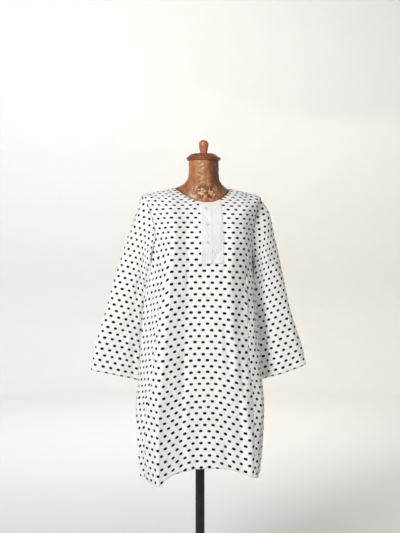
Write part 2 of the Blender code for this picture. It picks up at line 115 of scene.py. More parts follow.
def tableValue(rows, column, at):
    # a column read at a fractional row, as a Hermite curve with harmonic-mean slopes
    values = np.array([row[column] for row in rows], float)
    steps = np.diff(values)
    same = np.sign(steps[:-1]) == np.sign(steps[1:])
    inner = np.where(same, 2 * steps[:-1] * steps[1:] / np.where(same, steps[:-1] + steps[1:] + 1e-12, 1), 0)
    slopes = np.concatenate([[steps[0]], inner, [steps[-1]]])
    at = np.clip(np.asarray(at, float), 0, len(values) - 1)
    i = np.minimum(at.astype(int), len(values) - 2)
    t = at - i
    start = values[i] * (2 * t**3 - 3 * t**2 + 1) + slopes[i] * (t**3 - 2 * t**2 + t)
    return start + values[i + 1] * (3 * t**2 - 2 * t**3) + slopes[i + 1] * (t**3 - t**2)


def ringPoints(rows, angle, level):
    # superellipse in plan, z = side + (front or back - side) * |cos|^rise
    angle = np.radians(angle)
    zFront, zSide, zBack, half, yFront, ySide, yBack, roundness, rise = (
        tableValue(rows, column, level) for column in range(9)
    )
    sine = np.sin(angle)
    cosine = np.cos(angle)
    ahead = cosine >= 0
    x = half * np.sign(sine) * np.abs(sine) ** (2 / roundness)
    y = ySide + (np.where(ahead, yFront, yBack) - ySide) * np.abs(cosine) ** (2 / roundness)
    z = zSide + (np.where(ahead, zFront, zBack) - zSide) * np.abs(cosine) ** rise
    return np.stack(np.broadcast_arrays(x, y, z), axis=-1)


def bareBody(angle, level):
    # the rings, less a bell exp(-(off/width)^2) for each dip of the hem
    points = ringPoints(levels, angle, level)
    z = tableValue(levels, 0, level)
    for centre, width, dip, faded in hemDips:
        off = (angle - centre + 180) % 360 - 180
        points[..., 2] -= dip * np.exp(-((off / width) ** 2)) * smoothStep(faded, hemHeight, z)
    return points


def unit(vectors):
    # each vector over its own length
    return vectors / np.maximum(np.linalg.norm(vectors, axis=-1, keepdims=True), 1e-12)


def bodyNormals(angle, level):
    # cross product of the slopes along and across the rings
    along = bareBody(angle + 0.8, level) - bareBody(angle - 0.8, level)
    low = np.maximum(np.minimum(level, neckline - 0.04) - 0.04, 0)
    high = np.minimum(level, neckline - 0.04) + 0.04
    return unit(np.cross(along, bareBody(angle, high) - bareBody(angle, low)))


def foldDepth(angle, level):
    # a bell across the ring for each fold, which leans and widens from its top to the hem
    z = tableValue(levels, 0, level)
    depth = np.zeros(np.broadcast(angle, level).shape)
    for top, hem, wideTop, wideHem, size, zFaded, zFull in folds:
        fall = np.clip((zFaded - z) / (zFaded - hemHeight), 0, 1)
        off = (angle - top - (hem - top) * fall + 180) % 360 - 180
        width = wideTop + (wideHem - wideTop) * fall
        depth = depth + size * np.exp(-((off / width) ** 2)) * smoothStep(zFaded, zFull, z)
    return depth


def curveThrough(knots, parts=7):
    # Catmull-Rom curve through the rows of knots
    knots = np.array(knots, float)
    ends = np.vstack([2 * knots[0] - knots[1], knots, 2 * knots[-1] - knots[-2]])
    t = np.linspace(0, 1, parts, endpoint=False)[:, None]
    spans = []
    for a, b, c, d in zip(ends[:-3], ends[1:-2], ends[2:-1], ends[3:]):
        bowed, bent = 2 * a - 5 * b + 4 * c - d, 3 * b - a - 3 * c + d
        spans.append(0.5 * (2 * b + (c - a) * t + bowed * t**2 + bent * t**3))
    return np.vstack([*spans, knots[-1:]])


def creaseDepth(a, b, creases, strength=1.0):
    # Each crease is a curve of (a, b, depth), a half width on each side of it and a power, 1.7 for soft and 1
    # for sharp, all in thousandths. The depth at its nearest point times exp(-(distance / half width)^power).
    total = np.zeros(a.shape)
    for line, wideMinus, widePlus, *rest in creases:
        path = 0.001 * curveThrough(line)
        wideMinus, widePlus = 0.001 * wideMinus, 0.001 * widePlus
        reach = 3.2 * max(wideMinus, widePlus)
        near = (a > path[:, 0].min() - reach) & (a < path[:, 0].max() + reach)
        near &= (b > path[:, 1].min() - reach) & (b < path[:, 1].max() + reach)
        if not near.any():
            continue
        p = np.stack([a[near], b[near]], axis=-1)[:, None]
        start, step = path[None, :-1, :2], np.diff(path[None, :, :2], axis=1)
        share = np.clip(((p - start) * step).sum(-1) / np.maximum((step**2).sum(-1), 1e-12), 0, 1)
        away = p - start - step * share[..., None]
        squared = (away**2).sum(-1)
        pick = squared.argmin(axis=1)[:, None]
        side = np.take_along_axis(step[..., 0] * away[..., 1] - step[..., 1] * away[..., 0], pick, 1)[:, 0]
        depth = np.take_along_axis(path[None, :-1, 2] + np.diff(path[:, 2])[None] * share, pick, 1)[:, 0]
        distance = np.sqrt(np.take_along_axis(squared, pick, 1)[:, 0])
        width = np.where(side > 0, widePlus, wideMinus)
        sharpness = rest[0] if rest else 1.7
        total[near] += strength * depth * np.exp(-((distance / width) ** sharpness))
    return total


def rumple(a, b, shift):
    # soft uneven waves a few cm long, higher than wide, as a sum of bent sines between -1 and 1
    bend = 0.9 * np.sin(9 * b + shift) + 0.7 * np.sin(14 * a - 6 * b + 2 * shift)
    waves = 0.34 * np.sin(92 * a + 11 * b + 2.1 * bend + shift)
    waves += 0.27 * np.sin(57 * a - 23 * b + 1.7 * bend + 2.3 * shift)
    waves += 0.22 * np.sin(141 * a + 37 * b - 2.4 * bend + 4.1 * shift)
    waves += 0.17 * np.sin(33 * a + 68 * b + 2.9 * bend + 0.7 * shift)
    return waves * (0.6 + 0.4 * np.sin(17 * a + 13 * b + 3 * shift))


def pucker(run, away, reach, shift):
    # small uneven gathers along a seam: sines along it that die away from it as exp(-away / reach)
    wave = np.sin(run * 520 + 2.2 * np.sin(run * 61 + shift))
    wave = wave + 0.6 * np.sin(run * 890 + 3 * np.sin(run * 37 + shift))
    return wave * np.exp(-away / reach) * (0.6 + 0.4 * np.sin(run * 23 + 2 * shift))


def armholeLoop(turn, sideFront):
    # angle from the front or back centre and level, at a turn of 0 at the tip and 180 under the arm
    turn = np.radians(turn)
    level = (shoulderTip + underarm) / 2 + (shoulderTip - underarm) / 2 * np.cos(turn)
    return 90 - (armholeFront if sideFront else armholeBack) * np.abs(np.sin(turn)), level


# the turn at which the armhole loop is at the level seamMeets
meetTurn = float(np.degrees(np.arccos((2 * seamMeets - shoulderTip - underarm) / (shoulderTip - underarm))))


def seamAngle(level, column, sideFront):
    # a seam's angle at a level, meeting the armhole at its last row
    meet, _ = armholeLoop(meetTurn, sideFront)
    rows = [(row[0], row[column]) for row in seams] + [(seamMeets, float(meet))]
    return tableValue(rows, 1, rowAt(rows, level))


def panelEdges(column, sideFront, rows):
    # angle and level along one side of the front or back: seam, armhole, shoulder seam
    seamLevels = np.linspace(0, seamMeets, rows[0])
    turns = np.linspace(meetTurn, 0, rows[1] + 1)[1:]
    holeAngle, holeLevel = armholeLoop(turns, sideFront)
    shoulder = np.linspace(shoulderTip, neckline, rows[2] + 1)[1:]
    seam = seamAngle(seamLevels, column, sideFront)
    return (
        np.concatenate([seam, holeAngle, np.full(rows[2], 90.0)]),
        np.concatenate([seamLevels, holeLevel, shoulder]),
    )


def runLength(points, axis):
    # length along the rows or columns of a grid of points, from its first one
    step = np.linalg.norm(np.diff(points, axis=axis), axis=-1)
    shape = list(points.shape[:2])
    shape[axis] = 1
    return np.concatenate([np.zeros(shape), np.cumsum(step, axis=axis)], axis=axis)


def edgeDistance(points, side):
    # length from one side of a grid of points: "first" or "last" row, "left" or "right" column
    axis = 0 if side in ("first", "last") else 1
    run = runLength(points, axis)
    if side in ("first", "left"):
        return run
    return (run[-1:] if axis == 0 else run[:, -1:]) - run


def gridNormals(points, ring=False):
    # cross product of the central differences along the rows and up the columns
    if ring:
        across = np.roll(points, -1, axis=1) - np.roll(points, 1, axis=1)
    else:
        across = np.gradient(points, axis=1)
    return unit(np.cross(across, np.gradient(points, axis=0)))


def addMesh(name, points, faces, material, pointData=()):
    # a smooth mesh from arrays, with (name, kind, one value per vertex) attributes
    mesh = bpy.data.meshes.new(name)
    mesh.from_pydata(points.reshape(-1, 3), [], faces)
    for label, kind, values in pointData:
        layer = mesh.attributes.new(label, kind, "POINT")
        field = "vector" if kind == "FLOAT_VECTOR" else "value"
        layer.data.foreach_set(field, np.ascontiguousarray(values, np.float32).ravel())
    thing = bpy.data.objects.new(name, mesh)
    bpy.context.scene.collection.objects.link(thing)
    mesh.materials.append(material)
    mesh.shade_smooth()
    return thing


def gridFaces(rows, columns, ring=False, flip=False):
    # four corners for each cell of a grid of points
    row, column = np.meshgrid(np.arange(rows - 1), np.arange(columns if ring else columns - 1), indexing="ij")
    beside = (column + 1) % columns
    corner = [row * columns + column, row * columns + beside]
    corner += [(row + 1) * columns + beside, (row + 1) * columns + column]
    faces = np.stack(corner, axis=-1).reshape(-1, 4)
    return faces[:, ::-1] if flip else faces


def clothPiece(name, points, prints, edge, material, flip=False, thick=cloth["thick"]):
    # A thin shell: the grid is the cloth's inner face. The print attribute holds the cloth's own flat
    # coordinates in metres and, third, the distance from its hem.
    rows, columns = points.shape[:2]
    flat = np.concatenate([prints, edge[..., None]], axis=-1)
    piece = addMesh(name, points, gridFaces(rows, columns, flip=flip), material, [("print", "FLOAT_VECTOR", flat)])
    wall = piece.modifiers.new("wall", "SOLIDIFY")
    wall.thickness = thick
    wall.offset = 1.0
    wall.use_even_offset = False
    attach(piece, "root")
    return piece


# Materials

def nodeTree(name):
    # a new material with its node tree and the shader in it
    material = bpy.data.materials.new(name)
    material.use_nodes = True
    tree = material.node_tree
    return material, tree, tree.nodes["Principled BSDF"]


def dimmed(hue, share):
    # a colour times a share
    return tuple(c * share for c in hue)


def plug(node, values):
    # sets each named or numbered socket of a node to its number or colour, or links it to another node's output
    for label, value in values.items():
        if isinstance(value, bpy.types.NodeSocket):
            node.id_data.links.new(value, node.inputs[label])
        elif value is not None:
            node.inputs[label].default_value = value
    return node


def nodeBeside(socket, kind):
    # a new node in the tree of an output that it will read
    return socket.id_data.nodes.new("ShaderNode" + kind)


def maths(kind, first, second=None, third=None):
    # one operation on up to three numbers, the first of them an output
    node = nodeBeside(first, "Math")
    node.operation = kind
    return plug(node, {0: first, 1: second, 2: third}).outputs[0]


def vectorMaths(kind, first, second=None):
    # one operation on up to two vectors, the first of them an output
    node = nodeBeside(first, "VectorMath")
    node.operation = kind
    return plug(node, {0: first, 1: second}).outputs["Vector"]


plus, minus, times, timesPlus, power, absolute = (
    partial(maths, kind) for kind in ("ADD", "SUBTRACT", "MULTIPLY", "MULTIPLY_ADD", "POWER", "ABSOLUTE")
)
moved, lessened, scaled = (partial(vectorMaths, kind) for kind in ("ADD", "SUBTRACT", "MULTIPLY"))


def noise(vector, scale, detail=2.0, rough=0.5):
    # fractal noise between 0 and 1, scale cells in a metre
    values = {"Vector": vector, "Scale": scale, "Detail": detail, "Roughness": rough}
    return plug(nodeBeside(vector, "TexNoise"), values).outputs["Fac"]


def mixColor(factor, first, second):
    # first + factor * (second - first)
    node = nodeBeside(factor, "Mix")
    node.data_type = "RGBA"
    first, second = ((*hue, 1.0) if isinstance(hue, tuple) else hue for hue in (first, second))
    return plug(node, {"Factor": factor, "A": first, "B": second}).outputs["Result"]


def ramp(value, low, high, toLow=0.0, toHigh=1.0):
    # smooth step from toLow at low to toHigh at high, level beyond them
    node = nodeBeside(value, "MapRange")
    node.interpolation_type = "SMOOTHSTEP"
    values = {"Value": value, "From Min": low, "From Max": high, "To Min": toLow, "To Max": toHigh}
    return plug(node, values).outputs["Result"]


def bump(height, distance, strength=1.0, below=None):
    # the normal tilted by the slope of height * distance, over another tilted normal if there is one
    values = {"Height": height, "Distance": distance, "Strength": strength, "Normal": below}
    return plug(nodeBeside(height, "Bump"), values).outputs["Normal"]


def attribute(tree, label, output="Vector"):
    # a value stored with the mesh's points
    node = tree.nodes.new("ShaderNodeAttribute")
    node.attribute_name = label
    return node.outputs[output]


def separate(vector):
    # the three parts of a vector
    return plug(nodeBeside(vector, "SeparateXYZ"), {"Vector": vector}).outputs


def objectCoords(tree):
    # places in metres in the shared frame
    return tree.nodes.new("ShaderNodeTexCoord").outputs["Object"]


def weaveHeight(flat, pitch):
    # plain weave: sine threads both ways that pass over and under each other, u and v shifted by slow noise
    part = separate(flat)
    slow = noise(flat, 260.0, 1.0)
    bent = times(slow, 2.4)
    u = timesPlus(part["X"], math.tau / pitch / 2, bent)
    v = timesPlus(part["Y"], math.tau / pitch / 2, bent)
    return times(maths("SINE", u), maths("SINE", v))


def stitchMask(run, away, line, half, pitch, duty):
    # 1 on short dashes along a line at a set distance from an edge
    across = absolute(minus(away, line))
    dash = absolute(minus(maths("FRACT", maths("DIVIDE", run, pitch)), 0.5))
    return times(ramp(across, half, half * 0.5), ramp(dash, duty / 2, duty / 2 - 0.1))


def dottedCotton(name, white, dot, look):
    # White plain weave with near-black ovals in the print attribute's cells, one lattice of them half a pitch
    # off the other: (|u|^k + |v|^k)^(1/k) is 1 on an oval's edge, with small random shifts and sizes
    material, tree, shader = nodeTree(name)
    flat = attribute(tree, "print")
    part = separate(flat)
    cells = []
    for shiftU, shiftV in ((0.0, 0.0), (0.5, 0.5)):
        cell = scaled(flat, (1 / look["pitchU"], 1 / look["pitchV"], 0.0))
        cell = moved(cell, (shiftU + 0.5, shiftV + 0.5, 0.0))
        whole = vectorMaths("FLOOR", cell)
        place = lessened(lessened(cell, whole), (0.5, 0.5, 0.0))
        chance = plug(nodeBeside(whole, "TexWhiteNoise"), {"Vector": moved(whole, (0.0, 0.0, 7 * shiftU))})
        jitter = scaled(lessened(chance.outputs["Color"], (0.5, 0.5, 0.5)), look["jitter"])
        zoom = (look["pitchU"] / look["dotWide"] * 2, look["pitchV"] / look["dotTall"] * 2, 0.0)
        place = scaled(moved(place, jitter), zoom)
        grow = timesPlus(chance.outputs["Value"], 0.10, 0.95)
        axes = separate(place)
        wide = power(absolute(axes["X"]), look["roundness"])
        tall = power(absolute(axes["Y"]), look["roundness"])
        radius = power(plus(wide, tall), 1 / look["roundness"])
        cells.append(times(radius, grow))
    nearest = maths("MINIMUM", cells[0], cells[1])
    ragged = minus(noise(flat, 900.0, 2.0), 0.5)
    nearest = timesPlus(ragged, 0.22, nearest)
    inside = ramp(nearest, 1.06, 0.90)
    weave = weaveHeight(flat, look["thread"])
    tone = noise(flat, 14.0, 3.0)
    slub = noise(scaled(flat, (60.0, 900.0, 0.0)), 1.0, 2.0)
    base = mixColor(ramp(tone, 0.35, 0.7), white, tuple(c * f for c, f in zip(white, (0.965, 0.962, 0.955))))
    base = mixColor(times(ramp(slub, 0.55, 0.8), 0.10), base, dimmed(white, 0.86))
    ink = mixColor(ramp(noise(flat, 1500.0, 2.0), 0.45, 0.8), dot, dimmed(dot, 1.8))
    color = mixColor(inside, base, ink)
    thread = stitchMask(part["X"], part["Z"], look["stitchLine"], 0.0004, 0.0030, 0.72)
    color = mixColor(times(thread, 0.35), color, dimmed(white, 0.80))
    plug(shader, {"Base Color": color, "Roughness": 0.88, "Specular IOR Level": 0.12})
    plug(shader, {"Sheen Weight": 0.05, "Sheen Roughness": 0.5})
    crumple = noise(scaled(flat, (1.0, 0.55, 1.0)), 46.0, 3.0, 0.55)
    soft = bump(crumple, look["crumple"])
    height = timesPlus(thread, -0.6, times(weave, 0.5))
    plug(shader, {"Normal": bump(height, 0.00016, 0.6, soft)})
    return material


def plainCotton(name, white, look):
    # the same weave without dots, with a stitch line along both edges of a band
    material, tree, shader = nodeTree(name)
    flat = attribute(tree, "print")
    part = separate(flat)
    tone = ramp(noise(flat, 40.0, 3.0), 0.35, 0.7)
    color = mixColor(tone, white, dimmed(white, 0.95))
    thread = stitchMask(part["Y"], part["Z"], look["stitchLine"], 0.00035, 0.0028, 0.7)
    color = mixColor(times(thread, 0.30), color, dimmed(white, 0.78))
    plug(shader, {"Base Color": color, "Roughness": 0.85, "Specular IOR Level": 0.25})
    plug(shader, {"Sheen Weight": 0.12, "Sheen Roughness": 0.5})
    soft = bump(noise(flat, 95.0, 3.0, 0.55), look["crumple"])
    height = timesPlus(thread, -0.6, times(weaveHeight(flat, look["thread"]), 0.5))
    plug(shader, {"Normal": bump(height, 0.00014, 0.6, soft)})
    return material


printLook = {
    "pitchU": 0.0266, "pitchV": 0.0381, "dotWide": 0.0122, "dotTall": 0.0086, "roundness": 2.3,
    "jitter": (0.035, 0.045, 0.0), "thread": 0.00042, "stitchLine": cloth["stitchLine"], "crumple": 0.0024,
}
plainLook = {"thread": 0.00042, "stitchLine": 0.0022, "crumple": 0.0022}
cottonDots = dottedCotton("dotted cotton", (0.84, 0.835, 0.82), (0.004, 0.004, 0.005), printLook)
cottonPlain = plainCotton("plain cotton", (0.79, 0.79, 0.785), plainLook)


# How far the dress form's skin lies inside the cloth's rings: level, gap.
formGaps = [
    (2.05, 0.040), (3.0, 0.040), (4.0, 0.052), (5.0, 0.062), (6.0, 0.034), (7.0, 0.014), (8.0, 0.005),
    (9.0, 0.0040), (10.0, 0.0040), (11.0, 0.0050), (12.0, 0.0022), (13.0, 0.0009),
]


def formGap(level):
    # the gap by the table, 0.5 mm more everywhere and up to 3.5 mm more between the hip and the shoulder seam
    gap = tableValue(formGaps, 1, rowAt(formGaps, level))
    return gap + 0.0005 + 0.0035 * smoothStep(13.0, 11.6, level)


# Front

# Creases of the front, in mm: curves of (x, z, depth, out is positive), half width towards -X and +X.
frontCreases = [
    ([(-78, 1305, 0), (-74, 1260, -3.2), (-68, 1200, -3.6), (-63, 1150, 0)], 30, 14),
    ([(-155, 920, 0), (-158, 820, 2.6), (-160, 680, 3.8), (-160, 570, 3.8), (-161, 460, 3)], 12, 5, 1.1),
    ([(-70, 1150, 0), (-68, 1125, -1.5), (-71, 1085, -1.1), (-69, 1060, 0)], 6, 9),
    ([(12, 1150, 0), (10, 1120, -1.3), (13, 1075, -1), (11, 1040, 0)], 7, 6),
    ([(-48, 1062, 0), (-50, 1020, -1.4), (-47, 970, -1.2), (-52, 920, 0)], 7, 7),
    ([(48, 985, 0), (56, 940, -2.8), (66, 865, -3.6), (73, 800, -1.8), (79, 740, 0)], 10, 14),
    ([(36, 945, 0), (42, 900, 1.4), (46, 840, 1.2), (49, 790, 0)], 8, 7),
    ([(20, 845, 0), (26, 800, -1.8), (25, 755, -1.5), (30, 710, 0)], 10, 8),
    ([(100, 770, 0), (108, 710, -3.4), (115, 630, -6), (118, 550, -6), (121, 480, -4)], 20, 8),
    ([(128, 720, 0), (134, 650, 2), (139, 570, 2.6), (144, 480, 1.6)], 8, 12),
    ([(136, 1250, 0), (141, 1200, 3), (140, 1120, 3.8), (134, 1030, 2.8), (132, 940, 0)], 11, 10),
    ([(-20, 700, 0), (-24, 640, -1.8), (-30, 570, -2.2), (-36, 500, -1.4)], 16, 12),
    ([(18, 660, 0), (20, 600, 1.6), (27, 540, 2), (32, 495, 1.2)], 16, 16),
    ([(58, 645, 0), (61, 590, -1.9), (67, 530, -2.2), (70, 490, -1)], 12, 12),
    ([(-70, 930, 0), (-76, 870, -1.8), (-78, 800, -2.2), (-83, 730, 0)], 12, 10),
    ([(-60, 780, 0), (-66, 720, 1.6), (-67, 650, 1.9), (-72, 580, 0)], 12, 12),
    ([(-18, 1165, 0), (-19, 1148, -1.6), (-21, 1115, -0.9), (-20, 1090, 0)], 6, 8),
    ([(47, 1172, 0), (48, 1148, -1.9), (46, 1105, -1.1), (49, 1070, 0)], 6, 9),
    ([(51, 1345, 0), (50, 1300, -1.2), (51, 1230, -1.5), (50, 1165, -1.3), (50, 1140, 0)], 3, 8),
    ([(-170, 1170, 0), (-150, 1160, 2.2), (-120, 1140, 1.6), (-98, 1110, 0)], 10, 12),
    ([(-172, 1145, 0), (-155, 1128, -2.6), (-130, 1098, -1.8), (-112, 1060, 0)], 10, 10),
    ([(171, 1165, 0), (155, 1142, -2.8), (134, 1110, -2), (120, 1070, 0)], 10, 10),
    ([(173, 1200, 0), (157, 1188, 1.9), (132, 1170, 1.4), (112, 1145, 0)], 9, 10),
    ([(-185, 1345, 0), (-160, 1318, -1.9), (-133, 1280, -2.2), (-108, 1250, 0)], 10, 14),
    ([(-160, 1350, 0), (-140, 1333, 1.5), (-116, 1312, 1.2), (-90, 1300, 0)], 9, 10),
    ([(188, 1340, 0), (164, 1316, -1.9), (138, 1285, -1.9), (110, 1262, 0)], 10, 13),
    ([(150, 1352, 0), (132, 1336, 1.4), (108, 1318, 1.3), (84, 1310, 0)], 9, 10),
    ([(82, 1072, 0), (84, 1030, 1.8), (82, 970, 1.6), (87, 910, 0)], 10, 10),
    ([(118, 900, 0), (128, 840, 2.4), (139, 770, 2.6), (146, 700, 0)], 11, 11),
    ([(100, 885, 0), (110, 820, -2.2), (120, 760, -2.2), (125, 710, 0)], 9, 10),
]
# The front's drape: rows from the hem up of z, softness of its corners in mm and its corners (x, y) in mm.
# The cloth falls in flat strips from the chest, with a sharp corner near -X and a soft one near +X. The first
# and last x are where it meets the rings again.
frontDrape = [
    (0.440, 3, -194, [(-161, -124), (-84, -106), (160, -110), (176, -93)], 188),
    (0.600, 3, -200, [(-162, -130), (-83, -110), (148, -116), (170, -95)], 192),
    (0.700, 4, -202, [(-161, -132), (-82, -112), (128, -121), (158, -97)], 190),
    (0.850, 6, -194, [(-153, -136), (-75, -115), (90, -129), (132, -102)], 178),
    (0.970, 8, -186, [(-145, -139), (-69, -119), (74, -133), (115, -108)], 166),
    (1.120, 9, -174, [(-134, -149), (-62, -130), (68, -146), (112, -120)], 155),
    (1.200, 8, -172, [(-124, -158), (-53, -139), (76, -153), (120, -127)], 152),
    (1.280, 9, -174, [(-118, -151), (-52, -132), (80, -142), (122, -125)], 160),
]
frontLook = {"columns": 190, "rows": (150, 56, 26), "rumple": 0.0013, "deep": 1.2, "groove": 0.0007, "turn": 0.4}


drapeTop = 1.345


def drapeShift(x, level, z):
    # Straight lines between the drape's corners less the rings' own y there, softened by the mean of 7 places
    # across each corner, blended in z as the mean of 5 heights and gone above drapeTop. It is how far each
    # point moves along y.
    yFront, ySide, half, roundness = (tableValue(levels, column, level) for column in (4, 5, 3, 7))

    def ringY(at):
        # the front of the superellipse over a width
        inside = np.maximum(1 - np.abs(at / half) ** roundness, 0)
        return ySide + (yFront - ySide) * inside ** (1 / roundness)

    blends = [rowAt([*frontDrape, (drapeTop,)], z + rise) for rise in np.linspace(-0.03, 0.03, 5)]
    total = np.zeros(np.broadcast(x, level).shape)
    for index, (_, soft, first, corners, last) in enumerate(frontDrape):
        weight = np.mean([np.clip(1 - np.abs(at - index), 0, 1) for at in blends], axis=0)
        for k in np.linspace(-1, 1, 7):
            place = x + 0.001 * soft * k
            flat = own = ringY(place)
            xs = [0.001 * first, *(0.001 * corner[0] for corner in corners), 0.001 * last]
            ys = [ringY(xs[0]), *(0.001 * corner[1] for corner in corners), ringY(xs[-1])]
            for a, b, ya, yb in zip(xs[:-1], xs[1:], ys[:-1], ys[1:]):
                inside = (place >= a) & (place < b)
                flat = np.where(inside, ya + (yb - ya) * (place - a) / (b - a), flat)
            total += weight * (flat - own) / 7
    return total


# The print's own height on the front: z against the flat length down from the row at printZero. Below
# slackTop the rows hang lower away from the front centre, by slackFall for each metre of height.
printZero, slackTop, slackFall = 0.971, 1.2, 0.055
frontRise = [
    (0.460, 0.504), (0.509, 0.457), (0.665, 0.305), (0.817, 0.152), (printZero, 0.0), (1.122, -0.152),
    (1.194, -0.228), (1.263, -0.305), (1.308, -0.362), (1.357, -0.428), (1.385, -0.474), (1.420, -0.545),
]


def frontDrop(x, z):
    # how far a row of dots hangs below its height at the front centre, more towards the hem and the sides
    slack = slackFall * np.maximum(slackTop - z, 0.0)
    left = smoothStep(0.04, 0.165, -x) * slack
    right = smoothStep(0.0, 0.15, x) * (slack + 0.003)
    arm = 0.7 * np.maximum(np.abs(x) - 0.125, 0.0) * np.exp(-(((z - 1.10) / 0.13) ** 2))
    return left + right + arm


# Where the cloth turns away from the front, the print keeps at least this share of its own length.
leastShare, shoulderHeight = 0.86, 1.33


def steepened(points, v):
    # above shoulderHeight, where the cloth turns level, v steps by at least leastShare of the length
    length = np.linalg.norm(np.diff(points, axis=0), axis=-1)
    step = np.diff(v, axis=0)
    step = np.where(points[:-1, :, 2] > shoulderHeight, np.minimum(step, -leastShare * length), step)
    return np.concatenate([v[:1], v[:1] + np.cumsum(step, axis=0)])


def frontPrint(points):
    # u adds up the steps along a row, each from leastShare to all of its length as it turns from the front,
    # and v is the height by frontRise with frontDrop below it
    step = np.diff(points, axis=1)
    length = np.linalg.norm(step, axis=-1)
    reach = np.cumsum(np.clip(np.abs(step[..., 0]), leastShare * length, length), axis=1)
    reach = np.concatenate([np.zeros((len(reach), 1)), reach], axis=1)
    middle = np.array([np.interp(0.0, row, run) for row, run in zip(points[..., 0], reach)])
    x, z = points[..., 0], points[..., 2]
    drift = 0.029 - 0.010 * smoothStep(0.9, 0.52, z)
    knots = np.array(frontRise)
    v = steepened(points, np.interp(z + frontDrop(x, z), knots[:, 0], knots[:, 1]))
    return np.stack([reach - middle[:, None] + drift, v], axis=-1)


def turnedUp(row, flat, normal, back, way):
    # the rows inside a hem from its fold by turnUpRows, and the print, which runs on past the fold
    runs = [share * cloth["turnUp"] + rise for _, share, rise in turnUpRows]
    rows = [row - normal * inside + back * run for (inside, _, _), run in zip(turnUpRows, runs)]
    flats = [flat + np.array([0.0, way * max(run, 0.0)]) for run in runs]
    return np.stack(rows), np.stack(flats)


def unstitched(edge):
    # distances from the hem for the rows inside it, too far off for its stitches
    return np.full((len(turnUpRows), edge.shape[1]), 2 * cloth["turnUp"])


def panelGrid(points, prints, topAllowance):
    # a column at each side and a row at the top folded straight in by the seam allowance, then the hem
    # turned up inside the first row
    grids = [points, prints, edgeDistance(points, "first"), gridNormals(points)]
    for axis, at, depth in ((1, 0, cloth["allowance"]), (1, -1, cloth["allowance"]), (0, -1, topAllowance)):
        added = [np.take(grid, [at], axis=axis) for grid in grids]
        added[0] = added[0] - added[3] * depth
        pairs = [(new, old) if at == 0 else (old, new) for new, old in zip(added, grids)]
        grids = [np.concatenate(pair, axis=axis) for pair in pairs]
    points, prints, edge, _ = grids
    rows, flats = turnedUp(points[0], prints[0], gridNormals(points)[0], unit(points[1] - points[0]), -1)
    return (
        np.concatenate([rows[::-1], points]),
        np.concatenate([flats[::-1], prints]),
        np.concatenate([unstitched(edge), edge]),
    )


def seamDepth(points, groove, shift):
    # the cloth sinks into the seam at each side as exp(-(distance / 3 mm)^2), with gathers beside it
    depth = np.zeros(points.shape[:2])
    run = runLength(points, 0)
    for side in ("left", "right"):
        away = edgeDistance(points, side)
        depth -= groove * np.exp(-((away / 0.003) ** 2))
        depth += 0.00045 * pucker(run, away, 0.010, shift)
    return depth


def hemDepth(away, run, shift):
    # a turned-up hem: its stitch line sinks by exp(-(distance / 1.6 mm)^2), and the cloth below it is fuller
    # by a smooth step and waves a little
    line = cloth["stitchLine"]
    sink = -0.0006 * np.exp(-(((away - line) / 0.0016) ** 2))
    full = 0.0005 * smoothStep(line - 0.0010, line - 0.0045, away)
    return sink + full + 0.0004 * pucker(run, np.abs(away - line), 0.009, shift)


clearance, easing = 0.0015, 0.0012


def keptOff(depth, level):
    # a smooth maximum of the depth and the clearance outside the form, (a + b + root((a - b)^2 + easing^2)) / 2
    least = clearance - formGap(level)
    return (depth + least + np.sqrt((depth - least) ** 2 + easing**2)) / 2


def draped(angle, level, creases, look, turn, across="x"):
    # ring points, moved out by the folds, the creases and a soft rumple, and along y by the front's drape
    base, normal = bareBody(angle, level), bodyNormals(angle, level)
    place = base[..., 0] if across == "x" else base[..., 1]
    height = base[..., 2]
    ahead = smoothStep(-0.030, -0.075, base[..., 1])
    settled = smoothStep(1.33, 1.10, height) * 0.6 + 0.4
    depth = foldDepth(angle, level) * (1 - ahead) + creaseDepth(place, height, creases, look["deep"])
    depth += look["rumple"] * settled * rumple(place, height, turn)
    shift = np.where(base[..., 1] < 0, drapeShift(base[..., 0], level, tableValue(levels, 0, level)), 0.0)
    shift = -keptOff(-shift - easing, level) - easing
    along = -shift * normal[..., 1]
    depth = keptOff(depth - along, level) + along
    points = base + normal * (depth + cloth["inner"])[..., None]
    points[..., 1] += shift
    return points, base, normal


def bodyPanel(angle, level, creases, look, turn, across="x"):
    # the draped points with the seams and the hem pressed in
    points, _, _ = draped(angle, level, creases, look, turn, across)
    fine = seamDepth(points, look["groove"], turn)
    fine += hemDepth(edgeDistance(points, "first"), runLength(points, 1), turn)
    return points + gridNormals(points) * fine[..., None]


toLeft, level = panelEdges(1, True, frontLook["rows"])
toRight, _ = panelEdges(2, True, frontLook["rows"])
share = np.linspace(0, 1, frontLook["columns"] + 1)
frontAngle = -toLeft[:, None] + (toLeft + toRight)[:, None] * share
frontLevel = np.broadcast_to(level[:, None], frontAngle.shape)
frontPoints = bodyPanel(frontAngle, frontLevel, frontCreases, frontLook, frontLook["turn"])
frontGrid = panelGrid(frontPoints, frontPrint(frontPoints), cloth["neckEdge"])
front = clothPiece("front_cloth", *frontGrid, cottonDots)
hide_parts("front")
print("stage: front", flush=True)


# Back

backLook = {"columns": 150, "rows": (150, 56, 26), "rumple": 0.0014, "deep": 1.5, "groove": 0.0007, "turn": 1.9}
